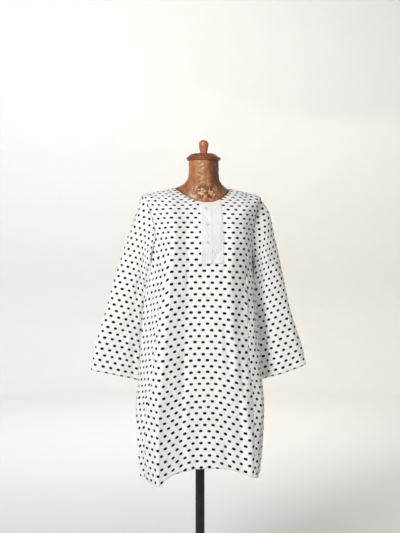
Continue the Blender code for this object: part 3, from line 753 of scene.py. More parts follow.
# Creases of the back, in mm: x as seen from the front, z, depth; half width towards -X and +X.
backCreases = [
    ([(20, 1330, 0), (18, 1260, -2), (22, 1170, -3.2), (26, 1060, -2.6), (30, 950, 0)], 14, 18),
    ([(-50, 1240, 0), (-46, 1160, 2.2), (-52, 1060, 3), (-56, 940, 1.8), (-55, 860, 0)], 14, 12),
    ([(-165, 1190, 0), (-140, 1165, -3), (-108, 1125, -2.6), (-80, 1080, 0)], 11, 11),
    ([(168, 1185, 0), (145, 1160, -3), (118, 1110, -2.6), (98, 1050, 0)], 11, 11),
    ([(-162, 1220, 0), (-132, 1200, 2.4), (-100, 1165, 1.8), (-70, 1130, 0)], 10, 11),
    ([(166, 1225, 0), (136, 1205, 2.2), (104, 1175, 1.8), (78, 1140, 0)], 10, 11),
    ([(-90, 1020, 0), (-94, 940, -3), (-104, 820, -4.6), (-109, 700, -4), (-114, 580, 0)], 14, 12),
    ([(82, 960, 0), (90, 870, -3.2), (99, 750, -4.4), (103, 620, -4.8), (106, 490, -2.4)], 12, 14),
    ([(-14, 900, 0), (-10, 820, 2.6), (-16, 710, 3.6), (-20, 580, 3.2), (-22, 480, 1.8)], 14, 12),
    ([(46, 800, 0), (52, 720, 2), (56, 620, 2.8), (60, 500, 2)], 12, 14),
    ([(-52, 760, 0), (-56, 680, -2.4), (-60, 580, -3.2), (-64, 490, -2)], 11, 12),
    ([(12, 720, 0), (16, 640, -2.2), (18, 560, -2.6), (22, 480, -1.4)], 10, 10),
    ([(-130, 740, 0), (-136, 660, 2.8), (-142, 560, 3.2), (-146, 470, 1.6)], 11, 10),
    ([(132, 800, 0), (138, 710, 2.6), (144, 600, 3.2), (149, 480, 1.8)], 10, 11),
    ([(-30, 1080, 0), (-26, 1040, -1.6), (-29, 980, -1.4), (-26, 930, 0)], 7, 9),
    ([(62, 1100, 0), (60, 1050, -1.5), (64, 990, -1.2), (63, 940, 0)], 8, 7),
    ([(-182, 1350, 0), (-150, 1335, -1.6), (-112, 1325, -1.8), (-75, 1330, 0)], 11, 12),
    ([(184, 1345, 0), (152, 1325, -1.6), (116, 1312, -1.6), (80, 1318, 0)], 11, 11),
    ([(-70, 1345, 0), (-30, 1338, 1.1), (10, 1341, 0.9), (50, 1349, 0)], 12, 10),
]
side, level = panelEdges(3, False, backLook["rows"])
share = np.linspace(0, 1, backLook["columns"] + 1)
backAngle = 180 - (-side[:, None] + 2 * side[:, None] * share)[:, ::-1]
backLevel = np.broadcast_to(level[:, None], backAngle.shape)
backPoints = bodyPanel(backAngle, backLevel, backCreases, backLook, backLook["turn"])


def backPrint(points):
    # u is the length along each row from the middle, v the height with rows that hang lower at the sides
    run = runLength(points, 1)
    rows = zip(points[:, ::-1, 0], run[:, ::-1])
    middle = np.array([np.interp(0.0, row, length) for row, length in rows])
    x, z = points[..., 0], points[..., 2]
    slack = 0.045 * np.maximum(slackTop - z, 0.0) * smoothStep(0.03, 0.16, np.abs(x))
    v = steepened(points, printZero - 0.008 - z - slack - 0.10 * np.maximum(z - 1.28, 0))
    return np.stack([run - middle[:, None] + 0.006, v], axis=-1)


backGrid = panelGrid(backPoints, backPrint(backPoints), cloth["neckEdge"])
back = clothPiece("back_cloth", *backGrid, cottonDots)
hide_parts("back")
print("stage: back", flush=True)


# Side panels

sideLook = {"columns": 70, "rows": 170, "rumple": 0.0013, "deep": 1.4, "groove": 0.0007}
# How far the side panels' dots hang lower at the front seam, and by how much they lean from it.
sidePrint = {"left": {"start": 0.018, "lean": 0.15}, "right": {"start": 0.033, "lean": 0.10}}
# Creases of the side panels, in mm: y, z, depth; half widths.
sideCreases = {
    "left": [
        ([(-70, 1120, 0), (-60, 1050, -2.6), (-66, 950, -3), (-70, 850, 0)], 10, 10),
        ([(-20, 1140, 0), (-12, 1060, 2.2), (-16, 950, 3), (-20, 820, 0)], 11, 11),
        ([(30, 1120, 0), (40, 1020, -3), (38, 900, -3.4), (30, 800, 0)], 11, 12),
        ([(-60, 800, 0), (-56, 720, -2.6), (-62, 620, -3.6), (-58, 500, -2.4)], 11, 10),
        ([(-20, 760, 0), (-12, 680, 2.6), (-14, 580, 3.4), (-8, 470, 2.2)], 12, 11),
        ([(30, 780, 0), (36, 700, -3), (30, 600, -3.8), (34, 480, -2.4)], 12, 12),
        ([(74, 860, 0), (78, 760, 2.2), (82, 640, 2.8), (84, 500, 1.6)], 10, 10),
        ([(-95, 700, 0), (-80, 665, -2), (-58, 640, -1.6), (-40, 630, 0)], 8, 8),
        ([(-92, 575, 0), (-80, 545, -2.2), (-60, 515, -1.8), (-42, 500, 0)], 8, 8),
        ([(-50, 1165, 0), (-30, 1135, -2), (-6, 1120, -1.6), (16, 1130, 0)], 8, 8),
    ],
    "right": [
        ([(-80, 1100, 0), (-70, 1020, -2.6), (-76, 920, -3.2), (-82, 820, 0)], 10, 10),
        ([(-30, 1130, 0), (-22, 1040, 2.4), (-28, 930, 3), (-30, 800, 0)], 11, 11),
        ([(26, 1130, 0), (34, 1030, -2.8), (30, 900, -3.4), (26, 790, 0)], 12, 11),
        ([(-86, 820, 0), (-80, 740, 2.4), (-86, 640, 3.2), (-84, 500, 2)], 10, 10),
        ([(-48, 780, 0), (-42, 700, -2.8), (-46, 600, -3.8), (-40, 480, -2.4)], 11, 11),
        ([(0, 740, 0), (8, 660, 2.6), (6, 560, 3.2), (12, 470, 2)], 12, 12),
        ([(52, 800, 0), (58, 710, -2.8), (60, 600, -3.4), (64, 490, -2.2)], 11, 11),
        ([(-60, 1160, 0), (-36, 1135, -2), (-10, 1125, -1.6), (14, 1135, 0)], 8, 8),
    ],
}


def sidePanel(name, sign, frontColumn, look):
    # rows across the side from the front seam to the back seam, whose last row bends into the armhole's
    # lower loop; the print is the length from the front seam and the height
    start, lean = sidePrint[name]["start"], sidePrint[name]["lean"]
    seamLevels = np.linspace(0, seamMeets, look["rows"])
    across = np.linspace(0, 1, look["columns"] + 1)
    turns = meetTurn + (360 - 2 * meetTurn) * across
    holeFront, top = armholeLoop(turns, True)
    holeBack, _ = armholeLoop(turns, False)
    hole = np.where(turns <= 180, holeFront, 180 - holeBack)
    share = seamLevels / seamMeets
    level = share[:, None] * top
    first = seamAngle(level, frontColumn, True)
    last = 180 - seamAngle(level, 3, False)
    angle = first + (last - first) * across
    angle = angle + smoothStep(0.55, 1.0, share)[:, None] * (hole - angle[-1])
    angle = sign * angle
    if sign < 0:
        angle, level = angle[:, ::-1], level[:, ::-1]
    points = bodyPanel(angle, level, sideCreases[name], look, 3.1 + sign, across="y")
    fromFront = edgeDistance(points, "left" if sign > 0 else "right")
    z = points[..., 2]
    slack = slackFall * np.maximum(slackTop - z, 0.0) + start + lean * fromFront
    u = (fromFront + 0.19) * sign - 0.0045 + lean * (z - 0.9) * sign
    grid = panelGrid(points, np.stack([u, printZero - z - slack], axis=-1), cloth["allowance"])
    panel = clothPiece(f"side_panel_{name}_cloth", *grid, cottonDots)
    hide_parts(f"side_panel_{name}")
    return panel


sideLeft = sidePanel("left", -1, 1, sideLook)
sideRight = sidePanel("right", 1, 2, sideLook)
print("stage: side panels", flush=True)


# Sleeves

# Sections from armhole to cuff: over x, y, z; under x, y, z; half depth.
sleeveRows = {
    "left": [
        (0.1965, -0.025, 1.379, 0.1700, 0.000, 1.177, 0.060),
        (0.2125, -0.020, 1.332, 0.1740, 0.010, 1.154, 0.060),
        (0.2390, -0.010, 1.255, 0.1690, 0.024, 1.112, 0.054),
        (0.2640, 0.006, 1.168, 0.1720, 0.038, 1.058, 0.046),
        (0.2890, 0.024, 1.081, 0.1770, 0.050, 0.992, 0.040),
        (0.3100, 0.036, 1.000, 0.1820, 0.060, 0.928, 0.036),
        (0.3290, 0.044, 0.935, 0.1840, 0.067, 0.872, 0.032),
        (0.3450, 0.050, 0.870, 0.1850, 0.072, 0.816, 0.029),
        (0.3550, 0.054, 0.812, 0.1820, 0.076, 0.768, 0.026),
    ],
    "right": [
        (0.1965, -0.025, 1.379, 0.1700, 0.000, 1.177, 0.060),
        (0.2250, -0.020, 1.338, 0.1770, 0.007, 1.154, 0.060),
        (0.2500, -0.012, 1.255, 0.1800, 0.014, 1.112, 0.054),
        (0.2725, -0.008, 1.170, 0.1860, 0.018, 1.058, 0.046),
        (0.2915, -0.004, 1.083, 0.1940, 0.020, 0.992, 0.040),
        (0.3125, 0.000, 1.000, 0.2030, 0.020, 0.928, 0.036),
        (0.3350, 0.000, 0.932, 0.2100, 0.021, 0.872, 0.032),
        (0.3560, 0.000, 0.870, 0.2155, 0.023, 0.816, 0.029),
        (0.3660, 0.000, 0.820, 0.2170, 0.024, 0.770, 0.026),
    ],
}
sleeveLook = {"columns": 168, "rows": 170, "rumple": 0.0014, "deep": 1.5, "groove": 0.0007}
# Creases of the sleeves: degrees round (0 over the arm, 90 the front, 180 under, 270 the back), mm down
# from the armhole, depth in mm; half widths, a degree taken as a mm.
sleeveCreases = {
    "left": [
        ([(126, 0, 0), (144, 50, -7), (154, 120, -9), (163, 220, -7), (170, 320, -3), (176, 420, 0)], 30, 14),
        ([(84, 20, 0), (96, 80, 7), (104, 160, 8), (104, 260, 9), (100, 400, 10), (100, 600, 9)], 52, 46, 1.3),
        ([(150, 60, 0), (128, 100, -3), (98, 150, -2.4), (74, 190, 0)], 8, 8),
        ([(158, 100, 0), (134, 145, 2.8), (104, 190, 2.4), (82, 230, 0)], 8, 8),
        ([(160, 155, 0), (138, 190, -3), (108, 235, -2.4), (78, 260, 0)], 8, 9),
        ([(112, 300, 0), (106, 370, -2.4), (98, 460, -2.8), (96, 580, -1.6)], 10, 10),
        ([(136, 320, 0), (132, 400, 2.8), (128, 500, 2.8), (126, 600, 1.6)], 10, 10),
        ([(40, 340, 0), (36, 410, -1.8), (34, 500, -2.2), (32, 600, -1)], 10, 12),
        ([(18, 20, 0), (22, 80, -1.6), (28, 160, -1.6), (30, 230, 0)], 8, 10),
        ([(262, 50, 0), (270, 150, -4), (274, 270, -4.4), (268, 400, -3), (262, 560, 0)], 16, 14),
        ([(298, 100, 0), (302, 200, 3), (306, 320, 3.4), (304, 440, 2.4), (300, 580, 1)], 14, 14),
        ([(220, 80, 0), (242, 125, -2.8), (266, 165, -2.4), (288, 190, 0)], 8, 8),
        ([(214, 150, 0), (238, 190, 2.4), (262, 235, 2), (284, 270, 0)], 9, 9),
        ([(232, 340, 0), (236, 420, 2.6), (240, 500, 2.6), (244, 600, 1.4)], 10, 10),
        ([(328, 280, 0), (330, 360, -2.2), (332, 460, -2.4), (330, 580, -1)], 10, 10),
    ],
    "right": [
        ([(134, 0, 0), (142, 50, -4.5), (150, 120, -7), (156, 200, -4), (160, 280, 0)], 10, 18),
        ([(112, 20, 0), (120, 80, 3), (132, 180, 6), (140, 300, 8), (146, 420, 8), (150, 580, 7)], 30, 14),
        ([(58, 115, 0), (50, 130, -1.8), (40, 150, -1.6), (34, 170, 0)], 6, 7),
        ([(152, 70, 0), (136, 110, 2.8), (112, 160, 2.2), (92, 200, 0)], 8, 8),
        ([(158, 130, 0), (142, 170, -2.8), (120, 215, -2.4), (96, 250, 0)], 8, 9),
        ([(70, 170, 0), (62, 205, -2.2), (50, 235, -2), (40, 260, 0)], 8, 8),
        ([(104, 330, 0), (98, 400, -2.4), (94, 490, -2.6), (92, 600, -1.4)], 10, 10),
        ([(126, 360, 0), (124, 440, 2.4), (120, 520, 2.6), (118, 600, 1.4)], 10, 10),
        ([(40, 320, 0), (42, 400, -1.8), (44, 500, -2), (42, 600, -1)], 10, 12),
        ([(20, 20, 0), (24, 80, -1.6), (26, 160, -1.4), (28, 220, 0)], 8, 10),
        ([(258, 60, 0), (266, 160, -4), (272, 280, -4.4), (266, 420, -2.6), (260, 570, 0)], 15, 15),
        ([(294, 80, 0), (300, 190, 3), (304, 320, 3.2), (300, 450, 2.2), (298, 580, 1)], 14, 14),
        ([(222, 70, 0), (244, 115, -2.6), (266, 155, -2.2), (290, 180, 0)], 8, 8),
        ([(216, 140, 0), (240, 185, 2.4), (262, 225, 2), (286, 260, 0)], 9, 9),
        ([(234, 350, 0), (238, 430, 2.4), (240, 520, 2.4), (244, 600, 1.4)], 10, 10),
        ([(326, 300, 0), (330, 380, -2), (334, 470, -2.2), (330, 580, -1)], 10, 10),
    ],
}


def sleeve(name, sign, look):
    # oval sections between the over and under lines, blended into the armhole loop over the first 22%
    rows = sleeveRows[name]
    turns = np.arange(look["columns"]) * 360 / look["columns"]
    frontAngle, level = armholeLoop(turns, True)
    backAngle, _ = armholeLoop(turns, False)
    angle = np.where(turns <= 180, frontAngle, 180 - backAngle)
    base = bareBody(sign * angle, level)
    normal = bodyNormals(sign * angle, level)
    loop = base + normal * (foldDepth(sign * angle, level) + 0.0003)[..., None]
    share = np.linspace(0, 1, look["rows"] + 1) ** 1.1
    at = share * (len(rows) - 1)
    mirror = np.array([sign, 1, 1])
    over = np.stack([tableValue(rows, c, at) for c in (0, 1, 2)], axis=-1) * mirror
    below = np.stack([tableValue(rows, c, at) for c in (3, 4, 5)], axis=-1) * mirror
    deep = tableValue(rows, 6, at)
    middle, half = (over + below) / 2, (over - below) / 2
    wide = unit(half)
    ahead = unit(np.array([0, -1.0, 0]) + wide[:, 1:2] * wide)
    cosine = np.cos(np.radians(turns))[None, :, None]
    sine = np.sin(np.radians(turns))[None, :, None]
    oval = middle[:, None] + half[:, None] * cosine + (ahead * deep[:, None])[:, None] * sine
    blend = smoothStep(0.0, 0.22, share)[:, None, None]
    points = oval + (loop - oval[0]) * (1 - blend)
    if sign < 0:
        points, turns = points[:, ::-1], turns[::-1]
    outward = -gridNormals(points, ring=True)
    away = runLength(points, 0)
    around = np.broadcast_to(turns / 1000, away.shape)
    depth = creaseDepth(around, away, sleeveCreases[name], look["deep"]) * smoothStep(0.0, 0.05, away)
    wrapX, wrapY = 0.055 * np.cos(np.radians(turns))[None], 0.055 * np.sin(np.radians(turns))[None]
    uneven = rumple(wrapX + wrapY * 0.6, away * 0.8 + wrapY, 5 + sign)
    depth += look["rumple"] * smoothStep(0, 0.04, away) * uneven
    points = points + outward * (depth + cloth["inner"])[..., None]
    run = runLength(points, 1)
    length = np.linalg.norm(points[:, :1] - points[:, -1:], axis=-1) + run[:, -1:]
    fine = -look["groove"] * np.exp(-((away / 0.0035) ** 2)) + 0.0006 * pucker(run, away, 0.014, 2.0 + sign)
    toCuff = edgeDistance(points, "last")
    points = points + outward * (fine + hemDepth(toCuff, run, 1.0 + sign))[..., None]
    # Print: u runs round from the over line, v up from the cuff.
    start = np.argmin(np.abs((turns + 180) % 360 - 180))
    fromOver = run - run[:, start : start + 1]
    fromOver = fromOver - length * np.round(fromOver / length)
    flat = np.stack([fromOver * sign, toCuff], axis=-1)
    return points, flat, toCuff, turns


def sleevePiece(name, sign):
    # the ring is cut open along its under line, so that the print's u is continuous across the grid, then
    # a row at the armhole is folded in by the seam allowance and the cuff's hem is turned up inside
    points, flat, toCuff, turns = sleeve(name, sign, sleeveLook)
    order = (np.argmin(np.abs(turns - 180)) + np.arange(len(turns) + 1)) % len(turns)
    points, flat, toCuff = points[:, order], flat[:, order].copy(), toCuff[:, order]
    flat[:, 0, 0] = np.abs(flat[:, 0, 0]) * np.sign(flat[:, 2, 0])
    flat[:, -1, 0] = np.abs(flat[:, -1, 0]) * np.sign(flat[:, -3, 0])
    outward = -gridNormals(points)
    rows, flats = turnedUp(points[-1], flat[-1], outward[-1], unit(points[-2] - points[-1]), 1)
    top = points[:1] - outward[:1] * cloth["allowance"]
    grid = np.concatenate([top, points, rows])
    gridFlat = np.concatenate([flat[:1], flat, flats])
    edge = np.concatenate([toCuff[:1], toCuff, unstitched(toCuff)])
    piece = clothPiece(f"sleeve_{name}_cloth", grid, gridFlat, edge, cottonDots, flip=True)
    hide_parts(f"sleeve_{name}")
    return piece


sleeveLeft = sleevePiece("left", -1)
sleeveRight = sleevePiece("right", 1)
print("stage: sleeves", flush=True)


# Placket bands

bandLook = {
    "over": {"edges": (-0.0270, 0.0076), "columns": 60, "rows": 190, "shift": 0.0},
    "under": {"edges": (0.0056, 0.0440), "columns": 60, "rows": 190, "shift": 2.0},
}
bandFoot, bandThick = 1.162, 0.0008
# Creases of the bands, in mm: x, z, depth; half widths.
bandCreases = {
    "over": [
        ([(-20, 1163, -1.6), (-19, 1180, -1.5), (-21, 1205, 0)], 2, 3),
        ([(-13, 1163, -2), (-12, 1190, -1.9), (-15, 1225, 0)], 2, 4),
        ([(-3, 1163, -2.2), (-4, 1185, -2), (-2, 1210, 0)], 2, 3),
        ([(-20, 1330, 0), (-12, 1315, -0.9), (-4, 1305, -0.8), (4, 1300, 0)], 5, 5),
        ([(-22, 1270, 0), (-14, 1262, 0.9), (-6, 1250, 0.8), (3, 1245, 0)], 5, 5),
        ([(-20, 1240, 0), (-10, 1232, -1), (0, 1218, -0.9), (6, 1205, 0)], 5, 5),
    ],
    "under": [
        ([(12, 1163, -2.2), (13, 1190, -1.9), (17, 1225, 0)], 2, 3),
        ([(23, 1163, -1.4), (22, 1185, -1.3), (24, 1210, 0)], 2, 3),
        ([(10, 1172, 0), (18, 1181, -2.2), (28, 1194, -2), (36, 1206, 0)], 3, 4),
        ([(12, 1300, 0), (22, 1292, 1), (32, 1280, 0.9), (40, 1275, 0)], 6, 5),
        ([(12, 1250, 0), (20, 1240, -1.1), (30, 1224, -1), (38, 1215, 0)], 5, 5),
        ([(40, 1290, 0), (39.5, 1250, -1.4), (40, 1200, -1.6), (39.8, 1165, -1)], 2, 4),
    ],
}


def band(name, look):
    # the front's points between two x values, moved out past its wall; the over band's free edge waves
    low = rowAt(levels, bandFoot)
    level = np.linspace(low, neckline, look["rows"] + 1)[:, None]
    share = np.linspace(0, 1, look["columns"] + 1)[None]
    down = (neckline - level) / (neckline - low)
    left, right = look["edges"]
    wave = 0.0006 * np.sin(down * 31 + look["shift"]) + 0.0005 * np.sin(down * 53 + 1.3)
    inset = 0.0007 if name == "under" else -0.0008 + wave
    x = left + 0.0002 + (right - left - 0.0002 - inset) * share
    half = tableValue(levels, 3, level)
    roundness = tableValue(levels, 7, level)
    angle = np.degrees(np.arcsin((np.abs(x) / half) ** (roundness / 2))) * np.sign(x)
    level = np.broadcast_to(level, angle.shape)
    points, base, normal = draped(angle, level, frontCreases, frontLook, frontLook["turn"])
    points = points + normal * cloth["thick"]
    fromLeft, fromRight = edgeDistance(points, "left"), edgeDistance(points, "right")
    fromFoot, fromTop = edgeDistance(points, "first"), edgeDistance(points, "last")
    ends = np.minimum(fromFoot, fromTop)
    if name == "over":
        lift = 0.0013 * smoothStep(0.0, 0.0014, np.minimum(fromLeft, ends))
    else:
        lift = 0.0012 * smoothStep(0.0, 0.0014, np.minimum(fromRight, ends))
        lift *= 0.12 + 0.88 * smoothStep(0.0030, 0.0052, fromLeft)
    crease = creaseDepth(base[..., 0], base[..., 2], bandCreases[name], 1.6)
    run = runLength(points, 0)
    ripple = 0.00035 * pucker(run, np.minimum(fromLeft, fromRight), 0.006, 1 + look["shift"])
    foot = 0.00045 * pucker(runLength(points, 1), fromFoot, 0.014, 2 + look["shift"])
    free = 0.0008 * (name == "over") * np.exp(-fromRight / 0.004) * (0.6 + 0.4 * np.sin(run * 150))
    uneven = 0.0004 * rumple(base[..., 0] * 2, base[..., 2] * 1.4, 6.0)
    rise = np.maximum(lift + crease + ripple + foot + free + uneven, 0.0003)
    points = points + normal * rise[..., None]
    flat = np.stack([fromLeft, run], axis=-1)
    return points, flat, np.minimum(fromLeft, fromRight)


def bandPiece(name):
    # a band and its points, which the buttons lie on
    points, flat, edge = band(name, bandLook[name])
    piece = clothPiece(f"placket_{name}_cloth", points, flat, edge, cottonPlain, thick=bandThick)
    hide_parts(f"placket_{name}")
    return piece, points


bandOver, overPoints = bandPiece("over")
bandUnder, _ = bandPiece("under")
print("stage: placket", flush=True)


# Buttons

buttonLook = {
    "radius": 0.0052, "thick": 0.0020, "x": -0.0075, "heights": (1.338, 1.287, 1.232), "hole": 0.00055,
    "holeAt": 0.00125, "holeDeep": 0.0011, "dish": 0.0005, "rim": 0.0010, "off": 0.0010, "wire": 0.00022,
}


def shellButton(name, hue):
    # a clear-coated pale shell with darker clouds and bands, by two noises
    material, tree, shader = nodeTree(name)
    where = objectCoords(tree)
    cloud = noise(where, 420.0, 3.0)
    band = noise(scaled(where, (160.0, 160.0, 900.0)), 1.0, 2.0)
    color = mixColor(ramp(plus(cloud, times(band, 0.5)), 0.55, 1.0), hue, dimmed(hue, 0.80))
    plug(shader, {"Base Color": color, "Roughness": 0.32, "Coat Weight": 0.25, "Coat Roughness": 0.15})
    return material


def threadLook(name, hue):
    # fine noise as the thread's twist, in colour and bump
    material, tree, shader = nodeTree(name)
    where = objectCoords(tree)
    twist = noise(where, 2600.0, 1.0)
    color = mixColor(twist, hue, dimmed(hue, 0.7))
    plug(shader, {"Base Color": color, "Roughness": 0.8, "Normal": bump(twist, 0.0001)})
    return material


pearl = shellButton("shell button", (0.74, 0.735, 0.70))
cottonThread = threadLook("button thread", (0.60, 0.59, 0.56))


def button(number, z, look):
    # A polar grid: a rounded rim, a dished middle and four holes pressed in; thread crosses the holes.
    radial, around = 44, 80
    radius, thick = look["radius"], look["thick"]
    t = np.linspace(0, 1, radial)[:, None]
    turn = np.linspace(0, 2 * np.pi, around, endpoint=False)[None]
    r = radius * (1 - (1 - t) ** 1.3) + 0 * turn
    top = thick - look["dish"] * smoothStep(0.0036, 0.0030, r)
    top -= look["rim"] * smoothStep(radius - 0.0011, radius, r) ** 2
    xs, ys = r * np.cos(turn), r * np.sin(turn)
    for hx, hy in ((1, 1), (1, -1), (-1, 1), (-1, -1)):
        gap = np.hypot(xs - hx * look["holeAt"], ys - hy * look["holeAt"])
        top = top - look["holeDeep"] * smoothStep(look["hole"] + 0.00012, look["hole"] - 0.00012, gap)
    upper = np.stack([xs, ys, np.broadcast_to(top, xs.shape)], axis=-1)
    rim = np.stack([upper[-1] * [1, 1, 0] + [0, 0, thick * k] for k in (0.35, 0.12)])
    under = np.stack([upper[-1] * [k, k, 0] for k in (0.97, 0.6, 0.001)])
    grid = np.concatenate([upper, rim, under])
    level = rowAt(levels, z)
    pick = np.argmin(np.hypot(overPoints[..., 0] - look["x"], overPoints[..., 2] - z))
    seat = overPoints.reshape(-1, 3)[pick]
    angle = np.degrees(np.arcsin(abs(look["x"]) / tableValue(levels, 3, level))) * -1
    normal = bodyNormals(np.array([angle]), np.array([level]))[0]
    turnTo = Vector(normal).to_track_quat("Z", "Y").to_matrix()
    place = np.array(turnTo)
    seat = seat + normal * look["off"]
    world = grid.reshape(-1, 3) @ place.T + seat
    shell = addMesh(f"shell_button_{number}", world, gridFaces(len(grid), around, True), pearl)
    shell.data.set_sharp_from_angle(angle=math.radians(50))
    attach(shell, "root")
    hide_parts(f"button_{number}")
    at, wire = look["holeAt"], look["wire"]
    for side in (-1, 1):
        s = np.linspace(-1, 1, 15)
        arch = thick - 0.0006 + 0.0009 * (1 - s**4) - 0.0006 * (np.abs(s) > 0.99)
        path = np.stack([s * at, np.full_like(s, side * at), arch], axis=-1)
        ring = np.linspace(0, 2 * np.pi, 10, endpoint=False)
        section = np.stack([np.zeros_like(ring), np.cos(ring) * wire * 1.6, np.sin(ring) * wire], axis=-1)
        body = (path[:, None] + section[None]).reshape(-1, 3) @ place.T + seat
        strand = addMesh(f"button_thread_{number}_{side + 2}", body, gridFaces(15, 10, True), cottonThread)
        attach(strand, "root")


for number, z in enumerate(buttonLook["heights"], start=1):
    button(number, z, buttonLook)
print("stage: buttons", flush=True)


# Dress form

# Rings of the neck, with the same columns as levels.
neckRings = [
    (1.370, 1.411, 1.412, 0.0780, -0.1046, -0.031, 0.018, 2.0, 2.0),
    (1.386, 1.420, 1.421, 0.0630, -0.1048, -0.044, 0.005, 2.0, 2.0),
    (1.405, 1.433, 1.433, 0.0530, -0.1052, -0.053, -0.004, 2.0, 2.0),
    (1.427, 1.447, 1.444, 0.0492, -0.1058, -0.057, -0.0085, 2.0, 2.0),
    (1.458, 1.466, 1.465, 0.0485, -0.1060, -0.0575, -0.0090, 2.0, 2.0),
    (1.495, 1.495, 1.495, 0.0485, -0.1060, -0.0575, -0.0090, 2.0, 2.0),
]
formLook = {"around": 240, "torso": 60, "neck": 130, "bottom": 0.705, "middle": (0, -0.05)}
# Blisters and torn edges of the varnish at the front of the neck, in mm: x, z, height; half widths.
neckFlakes = [
    ([(-34, 1388, 0), (-22, 1396, 1.8), (-8, 1393, 1.4), (6, 1399, 1.8), (18, 1392, 0)], 2.2, 3),
    ([(-28, 1378, 0), (-14, 1381, 1.9), (2, 1376, 1.5), (16, 1381, 1.9), (29, 1377, 0)], 2, 2.6),
    ([(-16, 1409, 0), (-7, 1416, 1.3), (2, 1422, 1.6), (9, 1414, 1.2), (15, 1406, 0)], 1.8, 2.6),
    ([(-20, 1368, 0), (-9, 1371, 1.2), (4, 1367, 1.2), (14, 1370, 0)], 1.8, 2.2),
    ([(-38, 1380, 0), (-34, 1389, 1.2), (-36, 1399, 0)], 1.8, 2.2),
    ([(20, 1398, 0), (26, 1390, 1.6), (32, 1383, 1.2), (35, 1376, 0)], 1.8, 2.6),
    ([(-4, 1386, 0), (3, 1388, -1.1), (12, 1387, -1.1), (18, 1385, 0)], 2, 2),
    ([(-24, 1404, 0), (-18, 1407, -0.9), (-10, 1405, -0.9), (-4, 1408, 0)], 2, 2),
    ([(0, 1440, 0), (1, 1455, -0.7), (4, 1470, -0.9), (3, 1490, -0.6)], 1.2, 1.2),
    ([(8, 1452, 0), (12, 1464, -0.5), (10, 1480, -0.6), (14, 1492, 0)], 1, 1.4),
]


def varnishedPaper(name):
    # tan paper under a yellowed varnish that has flaked red-brown, darker on the right of the neck, with a painted
    # shade line just above the cloth's neckline
    material, tree, shader = nodeTree(name)
    where = objectCoords(tree)
    part = separate(where)
    blotch = noise(scaled(where, (1.0, 1.0, 0.55)), 34.0, 5.0, 0.62)
    fine = noise(where, 210.0, 4.0, 0.6)
    streak = noise(scaled(where, (150.0, 150.0, 12.0)), 1.0, 3.0)
    tan = mixColor(ramp(blotch, 0.3, 0.72), (0.44, 0.195, 0.062), (0.24, 0.080, 0.023))
    tan = mixColor(times(ramp(streak, 0.48, 0.70), 0.6), tan, (0.155, 0.050, 0.016))
    right = ramp(timesPlus(blotch, 0.05, part["X"]), 0.020, 0.048)
    high = ramp(part["Z"], 1.385, 1.43)
    stain = times(times(right, high), 0.85)
    color = mixColor(stain, tan, (0.12, 0.030, 0.012))
    patch = noise(moved(where, (0.3, 0.1, 0.2)), 88.0, 4.0, 0.7)
    flakeHigh = ramp(absolute(minus(part["Z"], 1.390)), 0.032, 0.012)
    flakeWide = ramp(absolute(plus(part["X"], 0.002)), 0.048, 0.020)
    flakeZone = times(flakeHigh, flakeWide)
    torn = times(ramp(patch, 0.50, 0.53), flakeZone)
    color = mixColor(times(torn, 0.95), color, (0.15, 0.035, 0.014))
    pale = times(ramp(patch, 0.47, 0.43), flakeZone)
    color = mixColor(times(pale, 0.9), color, (0.72, 0.43, 0.24))
    color = mixColor(times(ramp(fine, 0.58, 0.75), 0.5), color, (0.15, 0.055, 0.020))
    # painted shade: darkens the neck within a few mm above the cloth's neckline, where the cloth's edge shades it
    neckShade = ramp(attribute(tree, "aboveNeckline", "Fac"), 0.0040, 0.0015)
    color = mixColor(times(neckShade, 0.85), color, (0.045, 0.018, 0.008))
    plug(shader, {"Base Color": color, "Roughness": ramp(blotch, 0.3, 0.7, 0.34, 0.62)})
    plug(shader, {"Coat Weight": 0.18, "Coat Roughness": 0.3})
    rise = timesPlus(torn, -0.5, times(pale, 0.5))
    soft = bump(noise(where, 70.0, 4.0, 0.6), 0.0022)
    plug(shader, {"Normal": bump(timesPlus(fine, 0.35, rise), 0.0010, 0.9, soft)})
    return material


def formPoints(look):
    # the bare rings moved in by the gaps, then the neck's rings, with the flakes raised on its front
    angle = np.arange(look["around"]) * 360 / look["around"]
    level = np.linspace(formGaps[0][0], neckline, look["torso"])[:, None]
    gaps = formGap(level)
    angles = np.broadcast_to(angle[None], (len(level), len(angle)))
    torso = bareBody(angles, level) - bodyNormals(angles, level) * gaps[..., None]
    torso[0, :, 2] = look["bottom"]
    at = np.linspace(0, len(neckRings) - 1, look["neck"])[:, None]
    neck = ringPoints(neckRings, angle, at)
    front = np.cos(np.radians(angle))[None] > 0.2
    away = unit(np.concatenate([neck[..., :2] - look["middle"], np.zeros(neck.shape[:2] + (1,))], axis=-1))
    raised = creaseDepth(neck[..., 0], neck[..., 2], neckFlakes) * front
    lumps = np.sin(neck[..., 0] * 190 + 3 * np.sin(neck[..., 2] * 130))
    lumps *= 0.0007 * np.sin(neck[..., 2] * 170 + neck[..., 1] * 90)
    fade = smoothStep(1.495, 1.485, neck[..., 2]) * smoothStep(0.0, 0.25, at)
    neck = neck + away * ((raised + lumps) * fade)[..., None]
    return np.concatenate([torso, neck])


formGrid = formPoints(formLook)
formRows, formColumns = formGrid.shape[:2]
formFaces = [*gridFaces(formRows, formColumns, True).tolist(), list(range(formColumns))[::-1]]
formFaces.append(list(range((formRows - 1) * formColumns, formRows * formColumns)))
formTurns = np.arange(formColumns) * 360 / formColumns
# height of each point above the cloth's neckline, which the material uses to paint a shade line there
aboveNeckline = formGrid[..., 2] - bareBody(formTurns, neckline + 0 * formTurns)[None, :, 2]
formData = [("aboveNeckline", "FLOAT", aboveNeckline)]
form = addMesh("dress_form", formGrid, formFaces, varnishedPaper("varnished paper"), formData)
form.data.set_sharp_from_angle(angle=math.radians(50))
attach(form, "root")
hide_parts("form_body")
print("stage: form", flush=True)


# Turned pieces

